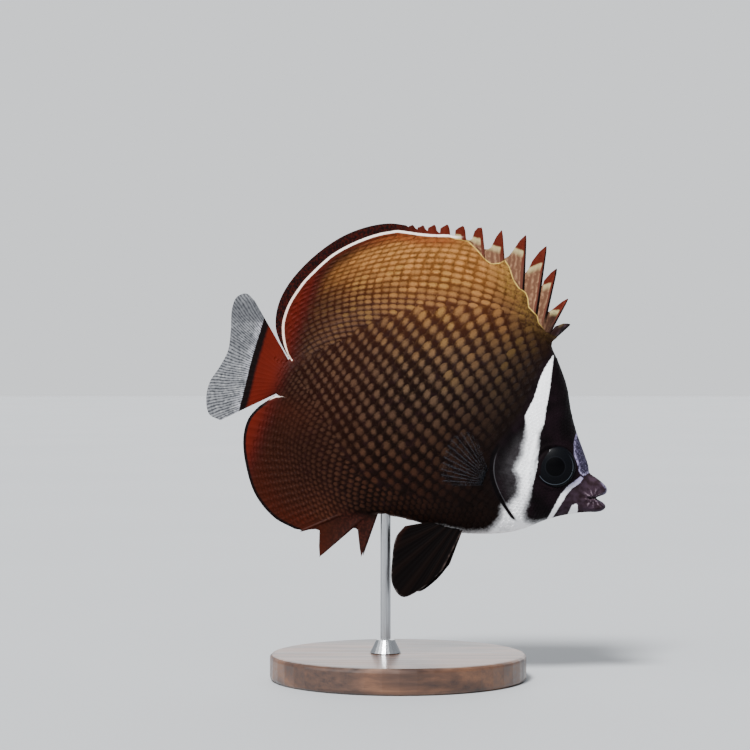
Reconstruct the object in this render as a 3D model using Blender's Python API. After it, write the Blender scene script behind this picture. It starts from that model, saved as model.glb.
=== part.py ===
"""A redtail butterflyfish at life size, swimming nose down on a plain display stand.

The fish is drawn level, in its own frame. A station is a distance behind the
snout tip and a height is a distance above the body's axis, both in millimetres,
and the two flanks mirror each other. An empty then tips the fish nose down and
lifts it over the base. The stand is drawn upright, with the base's underside
centred on the origin.
"""

import math

import bmesh
import bpy
import numpy as np
from mathutils import Matrix, Vector

MM = 0.001
GAP = 0.3

# Pose over the stand
NOSE_DOWN = math.radians(20.0)
SNOUT_X = 81.0
SNOUT_Z = 71.6

# Side profile of the body without its fins, as stations and heights
BACK_LINE = (
    (-2.0, 2.6), (5.6, 5.0), (8.9, 6.0), (10.6, 8.8), (13.8, 12.8), (19.7, 19.9),
    (24.2, 26.6), (28.5, 34.2), (33.0, 40.0), (38.8, 46.1), (44.0, 50.2), (52.0, 53.0),
    (63.0, 53.8), (83.0, 50.8), (101.5, 43.6), (117.8, 30.6), (128.5, 14.8),
    (133.6, 7.6), (138.0, 6.0),
)
BELLY_LINE = (
    (-2.0, -6.2), (5.4, -9.0), (12.5, -12.8), (19.0, -17.3), (24.0, -21.8), (30.2, -26.3),
    (38.0, -29.9), (47.0, -32.8), (58.0, -34.4), (70.5, -35.4), (79.0, -36.8),
    (85.0, -38.1), (92.0, -38.3), (102.0, -35.2), (117.5, -25.4), (127.6, -13.6),
    (132.0, -7.8), (138.0, -6.0),
)
HALF_WIDTHS = (
    (-2.0, 2.4), (4.4, 3.7), (10.0, 5.2), (16.0, 7.3), (23.0, 9.2), (32.0, 11.0),
    (42.0, 12.1), (54.0, 12.3), (68.0, 11.4), (85.0, 9.2), (102.0, 6.6), (117.0, 4.4),
    (127.0, 3.2), (134.4, 2.4), (138.0, 2.2),
)

# Where the body is parted
JAW_STATION = 4.4
STALK_STATION = 126.5
CAUDAL_STATION = 134.3
GILL_FOOT = 26.6
NAPE_STATION = 39.4
HALF_CUT = 0.22
GILL_LINE = (
    (33.0, -18.6), (39.6, -13.4), (44.6, -7.2), (46.5, -0.5), (45.2, 6.5),
    (41.9, 14.5), (41.2, 24.0), (40.2, 34.5),
)

# Stations over which a free, rounded edge turns into the broad root of a fin
NAPE_TO_FIN = (36.0, 50.0)
BELLY_TO_FIN = (76.0, 90.0)
FIN_TO_STALK = (129.0, 133.0)
FIN_ROOT = 2.0
ROOT_SHARE = 0.55
ROOT_FADE = 5.0
SHARP_EDGE = 0.02

# Fin membrane and the ridges of its rays, as half thicknesses
MEMBRANE = 0.3
THIN_ROOT = 0.4
RAY_RIDGE = 0.22
SPINE_HALF = 0.85
SPINE_ROOM = 0.32
SPINE_TAPER = 0.25
ROWS = 5

# How far up a spine's rear edge the membrane behind it starts, and how much of
# that height the membrane keeps halfway to the next spine
MEMBRANE_REACH = 0.9
MEMBRANE_SAG = 0.36

# Dorsal spines: root station, tip station, tip height, and how far up its front
# edge the membrane of the spine before it reaches
DORSAL_SPINES = (
    (40.9, 35.8, 57.9, 0.97), (42.9, 40.0, 67.0, 0.10), (45.4, 48.2, 76.5, 0.33),
    (49.0, 55.0, 83.3, 0.50), (54.8, 64.0, 84.6, 0.54), (61.5, 73.5, 83.2, 0.65),
    (68.5, 81.7, 81.9, 0.71), (75.0, 88.3, 79.6, 0.82), (81.0, 94.2, 78.0, 0.86),
    (86.5, 98.9, 76.2, 0.90), (91.5, 103.0, 74.5, 0.92), (96.5, 106.9, 73.2, 0.94),
)
DORSAL_RAYS = 26
DORSAL_RAY_ROOTS = (99.0, 131.4)
DORSAL_MARGIN = (
    (109.2, 72.2), (115.4, 70.7), (123.5, 66.2), (131.8, 58.7), (139.8, 46.6),
    (144.4, 34.0), (145.0, 25.0), (142.2, 16.8), (138.3, 12.3), (135.4, 9.9),
)

# Anal spines in the same form as the dorsal ones, and the soft anal fin
ANAL_SPINES = (
    (81.8, 81.5, -55.4, 0.97), (84.9, 96.9, -61.0, 0.32), (90.2, 107.2, -54.2, 0.62),
)
ANAL_RAYS = 20
ANAL_RAY_ROOTS = (93.6, 130.4)
ANAL_MARGIN = (
    (109.6, -53.9), (118.4, -52.5), (128.3, -46.7), (135.9, -37.0), (140.4, -27.5),
    (141.2, -20.0), (139.0, -13.8), (134.6, -9.4),
)

CAUDAL_RAYS = 17
CAUDAL_ROOT = (-6.2, 6.2)
CAUDAL_MARGIN = (
    (154.6, 24.4), (158.6, 25.9), (161.6, 23.4), (161.8, 18.5), (159.4, 10.4), (157.7, 2.5),
    (158.6, -4.5), (160.2, -11.5), (159.4, -17.5), (156.2, -23.2), (151.2, -24.0),
)

# Pectoral fin: root on the flank, and ray lengths by their angle above the axis
PECTORAL_ROOT = (47.0, -9.4)
PECTORAL_ROOT_HEIGHT = 6.0
PECTORAL_RAYS = 14
PECTORAL_REACH = ((56, 15.5), (47, 19.4), (30, 20.5), (10, 18.7), (-8, 18.0), (-24, 16.5), (-33, 13.0))
PECTORAL_SINK = 1.0
PECTORAL_RISE = 2.3
PECTORAL_RISE_OVER = 1.5
PECTORAL_ROWS = (0.0, 0.07, 0.16, 0.4, 0.7, 1.0)
PECTORAL_BASE = 0.25
PECTORAL_SPREAD = 0.5

# Pelvic fins: the root along the belly, the margin from the spine's tip to the
# inner ray, and how far each fin splays outwards, swings forward and reaches
PELVIC_ROOT = ((47.6, -31.0), (56.0, -32.2))
PELVIC_MARGIN = (
    (50.0, -48.6), (54.6, -57.4), (61.2, -64.0), (66.6, -60.6), (69.8, -52.0),
    (71.4, -43.0), (69.6, -37.9),
)
PELVIC_RAYS = 6
PELVIC_ROWS = 6
PELVIC_APART = 2.3
PELVIC_BASE = 0.4
PELVIC_SPLAY = {"right": 0.1, "left": 0.3}
PELVIC_SWING = {"right": 0.0, "left": math.radians(8.0)}
PELVIC_REACH = {"right": 1.0, "left": 0.88}

# Head: eyes, their rims, gill covers, nostrils and jaws
EYE_AT = (22.7, 3.7)
EYE_RADIUS = 7.1
EYE_HALF_DEPTH = 3.1
EYE_SUNK = 1.25
EYE_RIM = 0.45
EYE_RIM_WIDTH = 1.1
GILL_STEP = 0.55
GILL_STEP_WIDTH = 3.5
GILL_TOP = (9.0, 17.0)
RELIEF_FROM = (1.0, 4.0)
CHEEK_LINE = ((33.4, 12.0), (32.6, 2.0), (30.0, -8.0), (24.5, -16.5))
CHEEK_RIDGE = 0.35
CHEEK_RIDGE_WIDTH = 1.2
NOSTRILS = ((14.6, 8.6, 0.62), (13.0, 7.2, 0.5))
MOUTH = {"centre": (-4.0, 0.0, -2.35), "radii": (3.2, 6.0, 0.35), "tilt": math.radians(-12)}
UPPER_JAW = {"tip": (0.2, 1.7), "root": (4.1, 1.25), "half_height": 3.35, "half_width": 3.35}
LOWER_JAW = {"tip": (-1.5, -4.9), "root": (4.1, -5.6), "half_height": 2.65, "half_width": 3.1}

# Stand
BASE_RADIUS = 50.0
BASE_HEIGHT = 10.0
BASE_BEVEL = 1.6
COLLAR_RADII = (6.0, 3.6)
COLLAR_HEIGHT = 5.0
ROD_X = -4.9
ROD_RADIUS = 2.0
ROD_TOP = 67.0

FINISHES = {
    "scaled_brown": ((0.30, 0.17, 0.08), 0.45, 0.0),
    "head_black": ((0.045, 0.03, 0.035), 0.4, 0.0),
    "lip_mauve": ((0.22, 0.15, 0.17), 0.45, 0.0),
    "fin_brown": ((0.33, 0.16, 0.07), 0.5, 0.0),
    "fin_rust": ((0.36, 0.10, 0.03), 0.5, 0.0),
    "tail_red": ((0.55, 0.07, 0.03), 0.45, 0.0),
    "pelvic_black": ((0.03, 0.015, 0.015), 0.45, 0.0),
    "pectoral_grey": ((0.35, 0.38, 0.45), 0.35, 0.0),
    "eye_dark": ((0.02, 0.02, 0.03), 0.1, 0.0),
    "stand_wood": ((0.06, 0.035, 0.022), 0.35, 0.0),
    "stand_steel": ((0.6, 0.6, 0.62), 0.3, 1.0),
}


def clear_scene():
    """Removes every object that the file opened with."""
    for obj in list(bpy.data.objects):
        bpy.data.objects.remove(obj)


def finish_material(name):
    """The Principled material of that name, made once."""
    if name in bpy.data.materials:
        return bpy.data.materials[name]
    colour, roughness, metallic = FINISHES[name]
    material = bpy.data.materials.new(name)
    material.use_nodes = True
    shader = material.node_tree.nodes["Principled BSDF"]
    shader.inputs["Base Color"].default_value = (*colour, 1.0)
    shader.inputs["Roughness"].default_value = roughness
    shader.inputs["Metallic"].default_value = metallic
    return material


def smooth_path(points, steps=14):
    """A centripetal Catmull-Rom curve through the points, as an array of points."""
    p = np.array(points, float)
    p = np.vstack([2 * p[0] - p[1], p, 2 * p[-1] - p[-2]])
    made = []
    for i in range(1, len(p) - 2):
        chords = np.linalg.norm(np.diff(p[i - 1:i + 3], axis=0), axis=1)
        knots = np.concatenate([[0.0], np.cumsum(chords**0.5)])
        t = np.linspace(knots[1], knots[2], steps, endpoint=False)[:, None]
        a = [
            (p[i - 1 + k] * (knots[k + 1] - t) + p[i + k] * (t - knots[k]))
            / (knots[k + 1] - knots[k])
            for k in range(3)
        ]
        b = [
            (a[k] * (knots[k + 2] - t) + a[k + 1] * (t - knots[k])) / (knots[k + 2] - knots[k])
            for k in range(2)
        ]
        made.append((b[0] * (knots[2] - t) + b[1] * (t - knots[1])) / (knots[2] - knots[1]))
    return np.vstack([*made, p[-2:-1]])


def along(path, shares):
    """Points at these shares of a path's length."""
    steps = np.linalg.norm(np.diff(path, axis=0), axis=1)
    length = np.concatenate([[0.0], np.cumsum(steps)])
    wanted = np.asarray(shares, float) * length[-1]
    return np.stack([np.interp(wanted, length, path[:, k]) for k in range(2)], axis=-1)


BACK = smooth_path(BACK_LINE)
BELLY = smooth_path(BELLY_LINE)
WIDTHS = smooth_path(HALF_WIDTHS)


def read(path, station):
    """The height or width that a profile has at a station."""
    return np.interp(station, path[:, 0], path[:, 1])


def ease(value, limits):
    """0 before the first limit, 1 after the second, and smooth between."""
    t = np.clip((np.asarray(value, float) - limits[0]) / (limits[1] - limits[0]), 0.0, 1.0)
    return t * t * (3 - 2 * t)


def edge_blend(station, above):
    """How much the body's edge at a station is a fin's root: 0 is a free, rounded edge."""
    start = np.where(above, ease(station, NAPE_TO_FIN), ease(station, BELLY_TO_FIN))
    return start * (1 - ease(station, FIN_TO_STALK))


def root_half(station, above):
    """Half thickness of the body's edge, where a fin grows from it."""
    width = read(WIDTHS, station)
    return edge_blend(station, above) * np.minimum(FIN_ROOT, ROOT_SHARE * width)


def flank(station, height):
    """Half thickness of the body at a place in its side view."""
    top, bottom, width = read(BACK, station), read(BELLY, station), read(WIDTHS, station)
    t = (height - (top + bottom) / 2) / ((top - bottom) / 2)
    above = t > 0
    edge = root_half(station, above)
    power = 0.5 + 0.5 * edge_blend(station, above)
    return edge + (width - edge) * np.clip(1 - t * t, 0.0, 1.0) ** power


def gill_path(shift):
    """The line of the gill opening and the nape, from the breast up, moved back by shift."""
    foot = (GILL_FOOT, read(BELLY, GILL_FOOT))
    nape = (NAPE_STATION, read(BACK, NAPE_STATION))
    path = smooth_path((foot, *GILL_LINE, nape))
    path[:, 0] += shift
    path[0, 1] = read(BELLY, path[0, 0])
    path[-1, 1] = read(BACK, path[-1, 0])
    return path


def distance_to(path, station, height):
    """Distance from each place to a path, in the side view."""
    places = np.stack([station, height], axis=-1)
    return np.min(np.linalg.norm(places[..., None, :] - path, axis=-1), axis=-1)


def head_relief(station, height):
    """What the eye's rim, the gill cover and the cheek's edge add to the head's flank."""
    from_eye = np.hypot(station - EYE_AT[0], height - EYE_AT[1])
    rim = EYE_RIM * np.exp(-(((from_eye - EYE_RADIUS) / EYE_RIM_WIDTH) ** 2))
    gill = distance_to(gill_path(0.0), station, height)
    below_top = 1 - ease(height, GILL_TOP)
    cover = GILL_STEP * np.exp(-((gill / GILL_STEP_WIDTH) ** 2)) * below_top
    cheek = distance_to(smooth_path(CHEEK_LINE), station, height)
    ridge = CHEEK_RIDGE * np.exp(-((cheek / CHEEK_RIDGE_WIDTH) ** 2))
    return (rim + cover + ridge) * ease(flank(station, height), RELIEF_FROM)


def edge_shares(count):
    """Shares from 0 to 1 that crowd towards both ends, where the body's edges are round."""
    return (1 + np.sin(np.linspace(-np.pi / 2, np.pi / 2, count))) / 2


def patch(belly, back, front, rear, columns, rows):
    """A grid of places between four lines of the side view, belly to back and front to rear."""
    u, v = np.linspace(0, 1, columns), edge_shares(rows)
    bottom, top = along(belly, u), along(back, u)
    left, right = along(front, v), along(rear, v)
    uu, vv = u[:, None, None], v[None, :, None]
    corners = (
        (1 - uu) * (1 - vv) * bottom[0] + uu * (1 - vv) * bottom[-1]
        + (1 - uu) * vv * top[0] + uu * vv * top[-1]
    )
    return (
        (1 - vv) * bottom[:, None] + vv * top[:, None]
        + (1 - uu) * left[None] + uu * right[None] - corners
    )


def stretch(path, start, end):
    """The part of a profile between two stations."""
    stations = np.linspace(start, end, 120)
    return np.stack([stations, read(path, stations)], axis=-1)


def upright(station):
    """A straight line across the body at a station, belly to back."""
    ends = np.array([[station, read(BELLY, station)], [station, read(BACK, station)]])
    return ends[0] + np.linspace(0, 1, 40)[:, None] * (ends[1] - ends[0])


def new_object(name, mesh, material, parent):
    """An object in the scene with one finish, under a parent."""
    obj = bpy.data.objects.new(name, mesh)
    bpy.context.scene.collection.objects.link(obj)
    mesh.materials.append(finish_material(material))
    obj.parent = parent
    return obj


def smooth_shading(mesh, angle=35.0):
    """Smooth shading with the sharp edges kept."""
    mesh.shade_smooth()
    mesh.set_sharp_from_angle(angle=math.radians(angle))


def slab(name, places, half, material, parent, middle=None):
    """A closed slab over a grid of side-view places, half thick each way from its middle sheet.

    Both faces are split into triangles alike, and where the half thickness is
    nothing the two faces share their points.
    """
    columns, rows = half.shape
    centre = np.zeros_like(half) if middle is None else middle
    bm = bmesh.new()
    faces = []
    for side in (1, -1):
        grid = [
            [
                bm.verts.new((
                    -places[i, k, 0] * MM,
                    (centre[i, k] + side * half[i, k]) * MM,
                    places[i, k, 1] * MM,
                ))
                for k in range(rows)
            ]
            for i in range(columns)
        ]
        faces.append(grid)
        for i in range(columns - 1):
            for k in range(rows - 1):
                a, b, c, d = grid[i][k], grid[i + 1][k], grid[i + 1][k + 1], grid[i][k + 1]
                bm.faces.new((a, b, c))
                bm.faces.new((a, c, d))
    rim = (
        [(i, 0) for i in range(columns)]
        + [(columns - 1, k) for k in range(1, rows)]
        + [(i, rows - 1) for i in range(columns - 2, -1, -1)]
        + [(0, k) for k in range(rows - 2, 0, -1)]
    )
    for (i, k), (m, n) in zip(rim, rim[1:] + rim[:1]):
        bm.faces.new((faces[0][i][k], faces[0][m][n], faces[1][m][n], faces[1][i][k]))
    bmesh.ops.remove_doubles(bm, verts=bm.verts, dist=1e-6)
    bmesh.ops.dissolve_degenerate(bm, edges=bm.edges, dist=1e-7)
    bmesh.ops.recalc_face_normals(bm, faces=bm.faces)
    mesh = bpy.data.meshes.new(name)
    bm.to_mesh(mesh)
    bm.free()
    smooth_shading(mesh)
    return new_object(name, mesh, material, parent)


def body_slab(name, places, material, parent, relief=None):
    """A slab with the body's own thickness."""
    half = flank(places[..., 0], places[..., 1])
    if relief:
        half = half + relief(places[..., 0], places[..., 1])
    half[half < SHARP_EDGE] = 0.0
    return slab(name, places, half, material, parent)


def torso(parent):
    """The trunk, from the gill opening to the tail stalk."""
    front = gill_path(HALF_CUT)
    rear = upright(STALK_STATION)
    belly = stretch(BELLY, front[0, 0], STALK_STATION)
    back = stretch(BACK, front[-1, 0], STALK_STATION)
    return body_slab("torso", patch(belly, back, front, rear, 24, 19), "scaled_brown", parent)


def tail_stalk(parent):
    """The narrow stalk that carries the tail fin."""
    start = STALK_STATION + GAP
    belly = stretch(BELLY, start, CAUDAL_STATION)
    back = stretch(BACK, start, CAUDAL_STATION)
    places = patch(belly, back, upright(start), upright(CAUDAL_STATION), 6, 13)
    return body_slab("tail_stalk", places, "tail_red", parent)


def ellipsoid(name, centre, radii, material, parent, segments=28, rings=14):
    """A closed ellipsoid whose poles point sideways, in the fish's frame."""
    bm = bmesh.new()
    turn = Matrix.Rotation(math.pi / 2, 4, "X")
    scale = Matrix.Diagonal((*[r * MM for r in radii], 1.0))
    bmesh.ops.create_uvsphere(bm, u_segments=segments, v_segments=rings, radius=1.0, matrix=turn)
    bmesh.ops.transform(bm, matrix=scale, verts=bm.verts)
    bmesh.ops.recalc_face_normals(bm, faces=bm.faces)
    mesh = bpy.data.meshes.new(name)
    bm.to_mesh(mesh)
    bm.free()
    smooth_shading(mesh, 60.0)
    obj = new_object(name, mesh, material, parent)
    obj.location = Vector(centre) * MM
    return obj


def eye_centre(side):
    """Where an eye's middle sits in the head."""
    surface = float(flank(*EYE_AT))
    return (-EYE_AT[0], side * (surface - EYE_SUNK), EYE_AT[1])


def as_cutter(obj, collection):
    """Turns an object into a helper that only cuts."""
    bpy.context.scene.collection.objects.unlink(obj)
    collection.objects.link(obj)
    obj.hide_render = True
    obj.display_type = "WIRE"


def cut_with(obj, collection):
    """Cuts a collection of helpers out of an object."""
    modifier = obj.modifiers.new("cut", "BOOLEAN")
    modifier.operation = "DIFFERENCE"
    modifier.solver = "EXACT"
    modifier.operand_type = "COLLECTION"
    modifier.collection = collection


def new_collection(name):
    """A collection for helpers, in the scene."""
    collection = bpy.data.collections.new(name)
    bpy.context.scene.collection.children.link(collection)
    return collection


def head(parent):
    """The head, with a socket for each eye, nostril pits and the slit of the mouth."""
    rear = gill_path(-HALF_CUT)
    front = upright(JAW_STATION)
    belly = stretch(BELLY, JAW_STATION, rear[0, 0])
    back = stretch(BACK, JAW_STATION, rear[-1, 0])
    obj = body_slab("head", patch(belly, back, front, rear, 25, 21), "head_black", parent, head_relief)
    cutters = new_collection("head_cutters")
    for side, label in ((-1, "right"), (1, "left")):
        radii = (EYE_RADIUS + GAP, EYE_HALF_DEPTH + GAP, EYE_RADIUS + GAP)
        socket = ellipsoid(f"socket_{label}", eye_centre(side), radii, "eye_dark", parent)
        as_cutter(socket, cutters)
        for n, (station, height, radius) in enumerate(NOSTRILS):
            centre = (-station, side * float(flank(station, height)), height)
            pit = ellipsoid(
                f"nostril_{label}_{n}", centre, (radius, 2 * radius, radius), "eye_dark", parent, 8, 6
            )
            as_cutter(pit, cutters)
    mouth = ellipsoid("mouth", MOUTH["centre"], MOUTH["radii"], "eye_dark", parent, 16, 8)
    mouth.rotation_euler = (0.0, MOUTH["tilt"], 0.0)
    as_cutter(mouth, cutters)
    cut_with(obj, cutters)
    return obj


def eye(side, label, parent):
    """An eyeball, flatter than a ball, as it bulges from the head."""
    radii = (EYE_RADIUS, EYE_HALF_DEPTH, EYE_RADIUS)
    return ellipsoid(f"eye_{label}", eye_centre(side), radii, "eye_dark", parent)


def jaw(name, size, parent, rings=7, sides=16):
    """A rounded jaw that runs from the head's cut to its own blunt tip."""
    bm = bmesh.new()
    tip, root = np.array(size["tip"]), np.array(size["root"])
    loops = []
    for n in range(rings):
        share = math.sin(n / rings * math.pi / 2)
        swell = math.sqrt(1 - share**2)
        centre = root + (tip - root) * share
        loops.append([
            bm.verts.new((
                -centre[0] * MM,
                size["half_width"] * swell * math.cos(2 * math.pi * k / sides) * MM,
                (centre[1] + size["half_height"] * swell * math.sin(2 * math.pi * k / sides)) * MM,
            ))
            for k in range(sides)
        ])
    bm.faces.new(loops[0])
    for near, far in zip(loops, loops[1:]):
        for k in range(sides):
            bm.faces.new((near[k], near[(k + 1) % sides], far[(k + 1) % sides], far[k]))
    point = bm.verts.new((-tip[0] * MM, 0.0, tip[1] * MM))
    for k in range(sides):
        bm.faces.new((loops[-1][k], loops[-1][(k + 1) % sides], point))
    bmesh.ops.recalc_face_normals(bm, faces=bm.faces)
    mesh = bpy.data.meshes.new(name)
    bm.to_mesh(mesh)
    bm.free()
    smooth_shading(mesh, 50.0)
    return new_object(name, mesh, "lip_mauve", parent)


def root_places(path, stations, above):
    """Places along the body's edge, moved out by the gap, where a fin's rays start."""
    stations = np.asarray(stations, float)
    slope = (read(path, stations + 0.5) - read(path, stations - 0.5))
    outward = np.stack([-slope, np.ones_like(slope)], axis=-1) * (1 if above else -1)
    outward /= np.linalg.norm(outward, axis=-1)[..., None]
    return np.stack([stations, read(path, stations)], axis=-1) + outward * GAP


def reach_of(places):
    """How far each place lies from the root of its ray."""
    return np.linalg.norm(places - places[:, :1], axis=-1)


def membrane_half(places, root):
    """Half thickness of a membrane that thins from its root's half thickness."""
    root = np.maximum(root, THIN_ROOT)
    return MEMBRANE + (root - MEMBRANE) * np.exp(-reach_of(places) / ROOT_FADE)


def ray_columns(roots, margin, rows):
    """Straight rays from their roots to the margin."""
    v = np.linspace(0, 1, rows)[None, :, None]
    return roots[:, None] * (1 - v) + margin[:, None] * v


def ray_ridges(columns, reach):
    """What the rays add to a membrane: every second column is a ray, which rises past the root."""
    ridge = np.where(np.arange(columns) % 2 == 0, RAY_RIDGE, 0.0)[:, None]
    return ridge * (1 - np.exp(-reach / ROOT_FADE))


def soft_fin(name, path, roots, margin_line, rays, above, material, parent):
    """A soft fin whose rays are ridges on one membrane."""
    count = 2 * rays - 1
    start = root_places(path, np.linspace(*roots, count), above)
    margin = along(smooth_path(margin_line), np.linspace(0, 1, count))
    places = ray_columns(start, margin, ROWS)
    half = membrane_half(places, root_half(start[:, :1], above)) + ray_ridges(count, reach_of(places))
    return slab(name, places, half, material, parent)


def spiny_fin(name, path, spines, soft_root, soft_margin, above, material, parent):
    """Stout spines that stand clear at their tips, joined by a notched membrane.

    The last stretch of membrane ends a gap short of the soft fin's first ray.
    """
    roots = root_places(path, [s[0] for s in spines], above)
    tips = np.array([s[1:3] for s in spines])
    starts, ends, ridge = [], [], []
    for n, (root, tip) in enumerate(zip(roots, tips)):
        last = n == len(spines) - 1
        room = np.linalg.norm(roots[n] - roots[n - 1 if last else n + 1])
        half = min(SPINE_HALF, SPINE_ROOM * room)
        back = root_places(path, [spines[n][0] + half], above)[0] - root
        notch = root - back + (tip - root) * spines[n][3]
        behind = root + back + (tip - root) * MEMBRANE_REACH
        starts += [root - back, root, root + back]
        ends += [notch, tip, behind]
        ridge += [0.0, SPINE_HALF, 0.0]
        if not last:
            following = root_places(path, [spines[n + 1][0] - half], above)[0]
            next_notch = following + (tips[n + 1] - roots[n + 1]) * spines[n + 1][3]
            starts.append((root + back + following) / 2)
            ends.append(behind * MEMBRANE_SAG + next_notch * (1 - MEMBRANE_SAG))
            ridge.append(0.0)
    starts.append(root_places(path, [soft_root - GAP], above)[0])
    ends.append(np.array(soft_margin) - np.array([GAP, 0.0]))
    ridge.append(0.0)
    places = ray_columns(np.array(starts), np.array(ends), ROWS)
    taper = np.linspace(1.0, SPINE_TAPER, ROWS)[None]
    spine = np.array(ridge)[:, None] * taper
    half = np.maximum(membrane_half(places, root_half(places[:, :1, 0], above)), spine)
    return slab(name, places, half, material, parent)


def caudal_fin(parent):
    """The tail fin, fanned from the end of the stalk."""
    count = 2 * CAUDAL_RAYS - 1
    heights = np.linspace(CAUDAL_ROOT[1], CAUDAL_ROOT[0], count)
    start = np.stack([np.full(count, CAUDAL_STATION + GAP), heights], axis=-1)
    margin = along(smooth_path(CAUDAL_MARGIN), np.linspace(0, 1, count))
    places = ray_columns(start, margin, ROWS + 1)
    root = flank(np.full(count, CAUDAL_STATION), heights)[:, None]
    half = membrane_half(places, root) + ray_ridges(count, reach_of(places))
    return slab("caudal_fin", places, half, "tail_red", parent)


def trim_to_torso(obj, trunk):
    """Cuts an object back to the trunk's surface, less the gap."""
    swollen = trunk.data.copy()
    cutter = bpy.data.objects.new(f"trunk_for_{obj.name}", swollen)
    bpy.context.scene.collection.objects.link(cutter)
    cutter.parent = trunk.parent
    displace = cutter.modifiers.new("clearance", "DISPLACE")
    displace.strength = GAP * MM
    displace.mid_level = 0.0
    cutters = new_collection(f"{obj.name}_cutters")
    as_cutter(cutter, cutters)
    cut_with(obj, cutters)


def pectoral_fin(side, label, trunk, parent):
    """A fan that leaves the flank behind the gill cover and lies back along it."""
    station, height = PECTORAL_ROOT
    count = 2 * PECTORAL_RAYS - 1
    heights = height + np.linspace(0.5, -0.5, count) * PECTORAL_ROOT_HEIGHT
    start = np.stack([np.full(count, station), heights], axis=-1)
    angles, lengths = np.array(PECTORAL_REACH, float).T
    angles = np.radians(angles)
    reach = np.stack([station + lengths * np.cos(angles), height + lengths * np.sin(angles)], axis=-1)
    margin = along(smooth_path(reach), np.linspace(0, 1, count))
    shares = np.array(PECTORAL_ROWS)[None, :, None]
    places = start[:, None] * (1 - shares) + margin[:, None] * shares
    out = reach_of(places)
    rise = PECTORAL_RISE * (1 - np.exp(-out / PECTORAL_RISE_OVER)) + PECTORAL_SPREAD * out
    middle = side * (flank(start[:, 0], start[:, 1])[:, None] - PECTORAL_SINK + rise)
    half = MEMBRANE + PECTORAL_BASE * np.exp(-out / ROOT_FADE) + ray_ridges(count, out)
    obj = slab(f"pectoral_fin_{label}", places, half, "pectoral_grey", parent, middle)
    trim_to_torso(obj, trunk)
    return obj


def pelvic_fin(side, label, trunk, parent):
    """A pointed fin that hangs from the belly, with its spine along the front edge."""
    count = 2 * PELVIC_RAYS - 1
    root = np.array(PELVIC_ROOT)
    start = root[0] + np.linspace(0, 1, count)[:, None] * (root[1] - root[0])
    margin = along(smooth_path(PELVIC_MARGIN), np.linspace(0, 1, count))
    swing = PELVIC_SWING[label]
    turned = (margin - root[0]) * PELVIC_REACH[label]
    margin = root[0] + np.stack([
        turned[:, 0] * math.cos(swing) + turned[:, 1] * math.sin(swing),
        turned[:, 1] * math.cos(swing) - turned[:, 0] * math.sin(swing),
    ], axis=-1)
    places = ray_columns(start, margin, PELVIC_ROWS)
    out = reach_of(places)
    middle = side * (PELVIC_APART + PELVIC_SPLAY[label] * out)
    half = MEMBRANE + PELVIC_BASE * np.exp(-out / ROOT_FADE) + ray_ridges(count, out)
    obj = slab(f"pelvic_fin_{label}", places, half, "pelvic_black", parent, middle)
    trim_to_torso(obj, trunk)
    return obj


def cone(name, radii, bottom, top, x, material, segments=24, bevel=0.0):
    """An upright round piece of the stand, from its bottom height to its top."""
    bm = bmesh.new()
    bmesh.ops.create_cone(
        bm, cap_ends=True, segments=segments, radius1=radii[0] * MM, radius2=radii[1] * MM,
        depth=(top - bottom) * MM,
    )
    mesh = bpy.data.meshes.new(name)
    bm.to_mesh(mesh)
    bm.free()
    smooth_shading(mesh)
    obj = new_object(name, mesh, material, None)
    obj.location = Vector((x, 0.0, (bottom + top) / 2)) * MM
    if bevel:
        modifier = obj.modifiers.new("edge", "BEVEL")
        modifier.width = bevel * MM
        modifier.segments = 3
        modifier.limit_method = "ANGLE"
        modifier.angle_limit = math.radians(60)
    return obj


def stand(trunk):
    """A round base, a collar and a rod whose top is shaped to the belly."""
    cone("stand_base", (BASE_RADIUS, BASE_RADIUS), 0.0, BASE_HEIGHT, 0.0, "stand_wood", 48, BASE_BEVEL)
    collar_foot = BASE_HEIGHT + GAP
    collar_top = collar_foot + COLLAR_HEIGHT
    cone("stand_collar", COLLAR_RADII, collar_foot, collar_top, ROD_X, "stand_steel")
    rod = cone("stand_rod", (ROD_RADIUS, ROD_RADIUS), collar_top + GAP, ROD_TOP, ROD_X, "stand_steel", 16)
    trim_to_torso(rod, trunk)


def main():
    clear_scene()
    pose = bpy.data.objects.new("fish_pose", None)
    bpy.context.scene.collection.objects.link(pose)
    pose.location = Vector((SNOUT_X, 0.0, SNOUT_Z)) * MM
    pose.rotation_euler = (0.0, NOSE_DOWN, 0.0)
    trunk = torso(pose)
    head(pose)
    tail_stalk(pose)
    jaw("upper_jaw", UPPER_JAW, pose)
    jaw("lower_jaw", LOWER_JAW, pose)
    spiny_fin(
        "dorsal_fin_spines", BACK, DORSAL_SPINES, DORSAL_RAY_ROOTS[0], DORSAL_MARGIN[0], True,
        "fin_brown", pose,
    )
    soft_fin(
        "dorsal_fin_soft", BACK, DORSAL_RAY_ROOTS, DORSAL_MARGIN, DORSAL_RAYS, True, "fin_rust", pose
    )
    spiny_fin(
        "anal_fin_spines", BELLY, ANAL_SPINES, ANAL_RAY_ROOTS[0], ANAL_MARGIN[0], False,
        "fin_rust", pose,
    )
    soft_fin("anal_fin_soft", BELLY, ANAL_RAY_ROOTS, ANAL_MARGIN, ANAL_RAYS, False, "fin_rust", pose)
    caudal_fin(pose)
    for side, label in ((-1, "right"), (1, "left")):
        eye(side, label, pose)
        pectoral_fin(side, label, trunk, pose)
        pelvic_fin(side, label, trunk, pose)
    stand(trunk)


main()
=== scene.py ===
"""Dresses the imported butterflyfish: one skin, its coat of scales, fins, eyes and stand.

Stations run back from the snout tip and heights run up from the body's axis, in
millimetres of the fish's own level frame. Every piece ends at the origin, unturned.
"""

import math

import bmesh
import bpy
import numpy as np
from mathutils import Euler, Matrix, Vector
from mathutils.bvhtree import BVHTree


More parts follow.
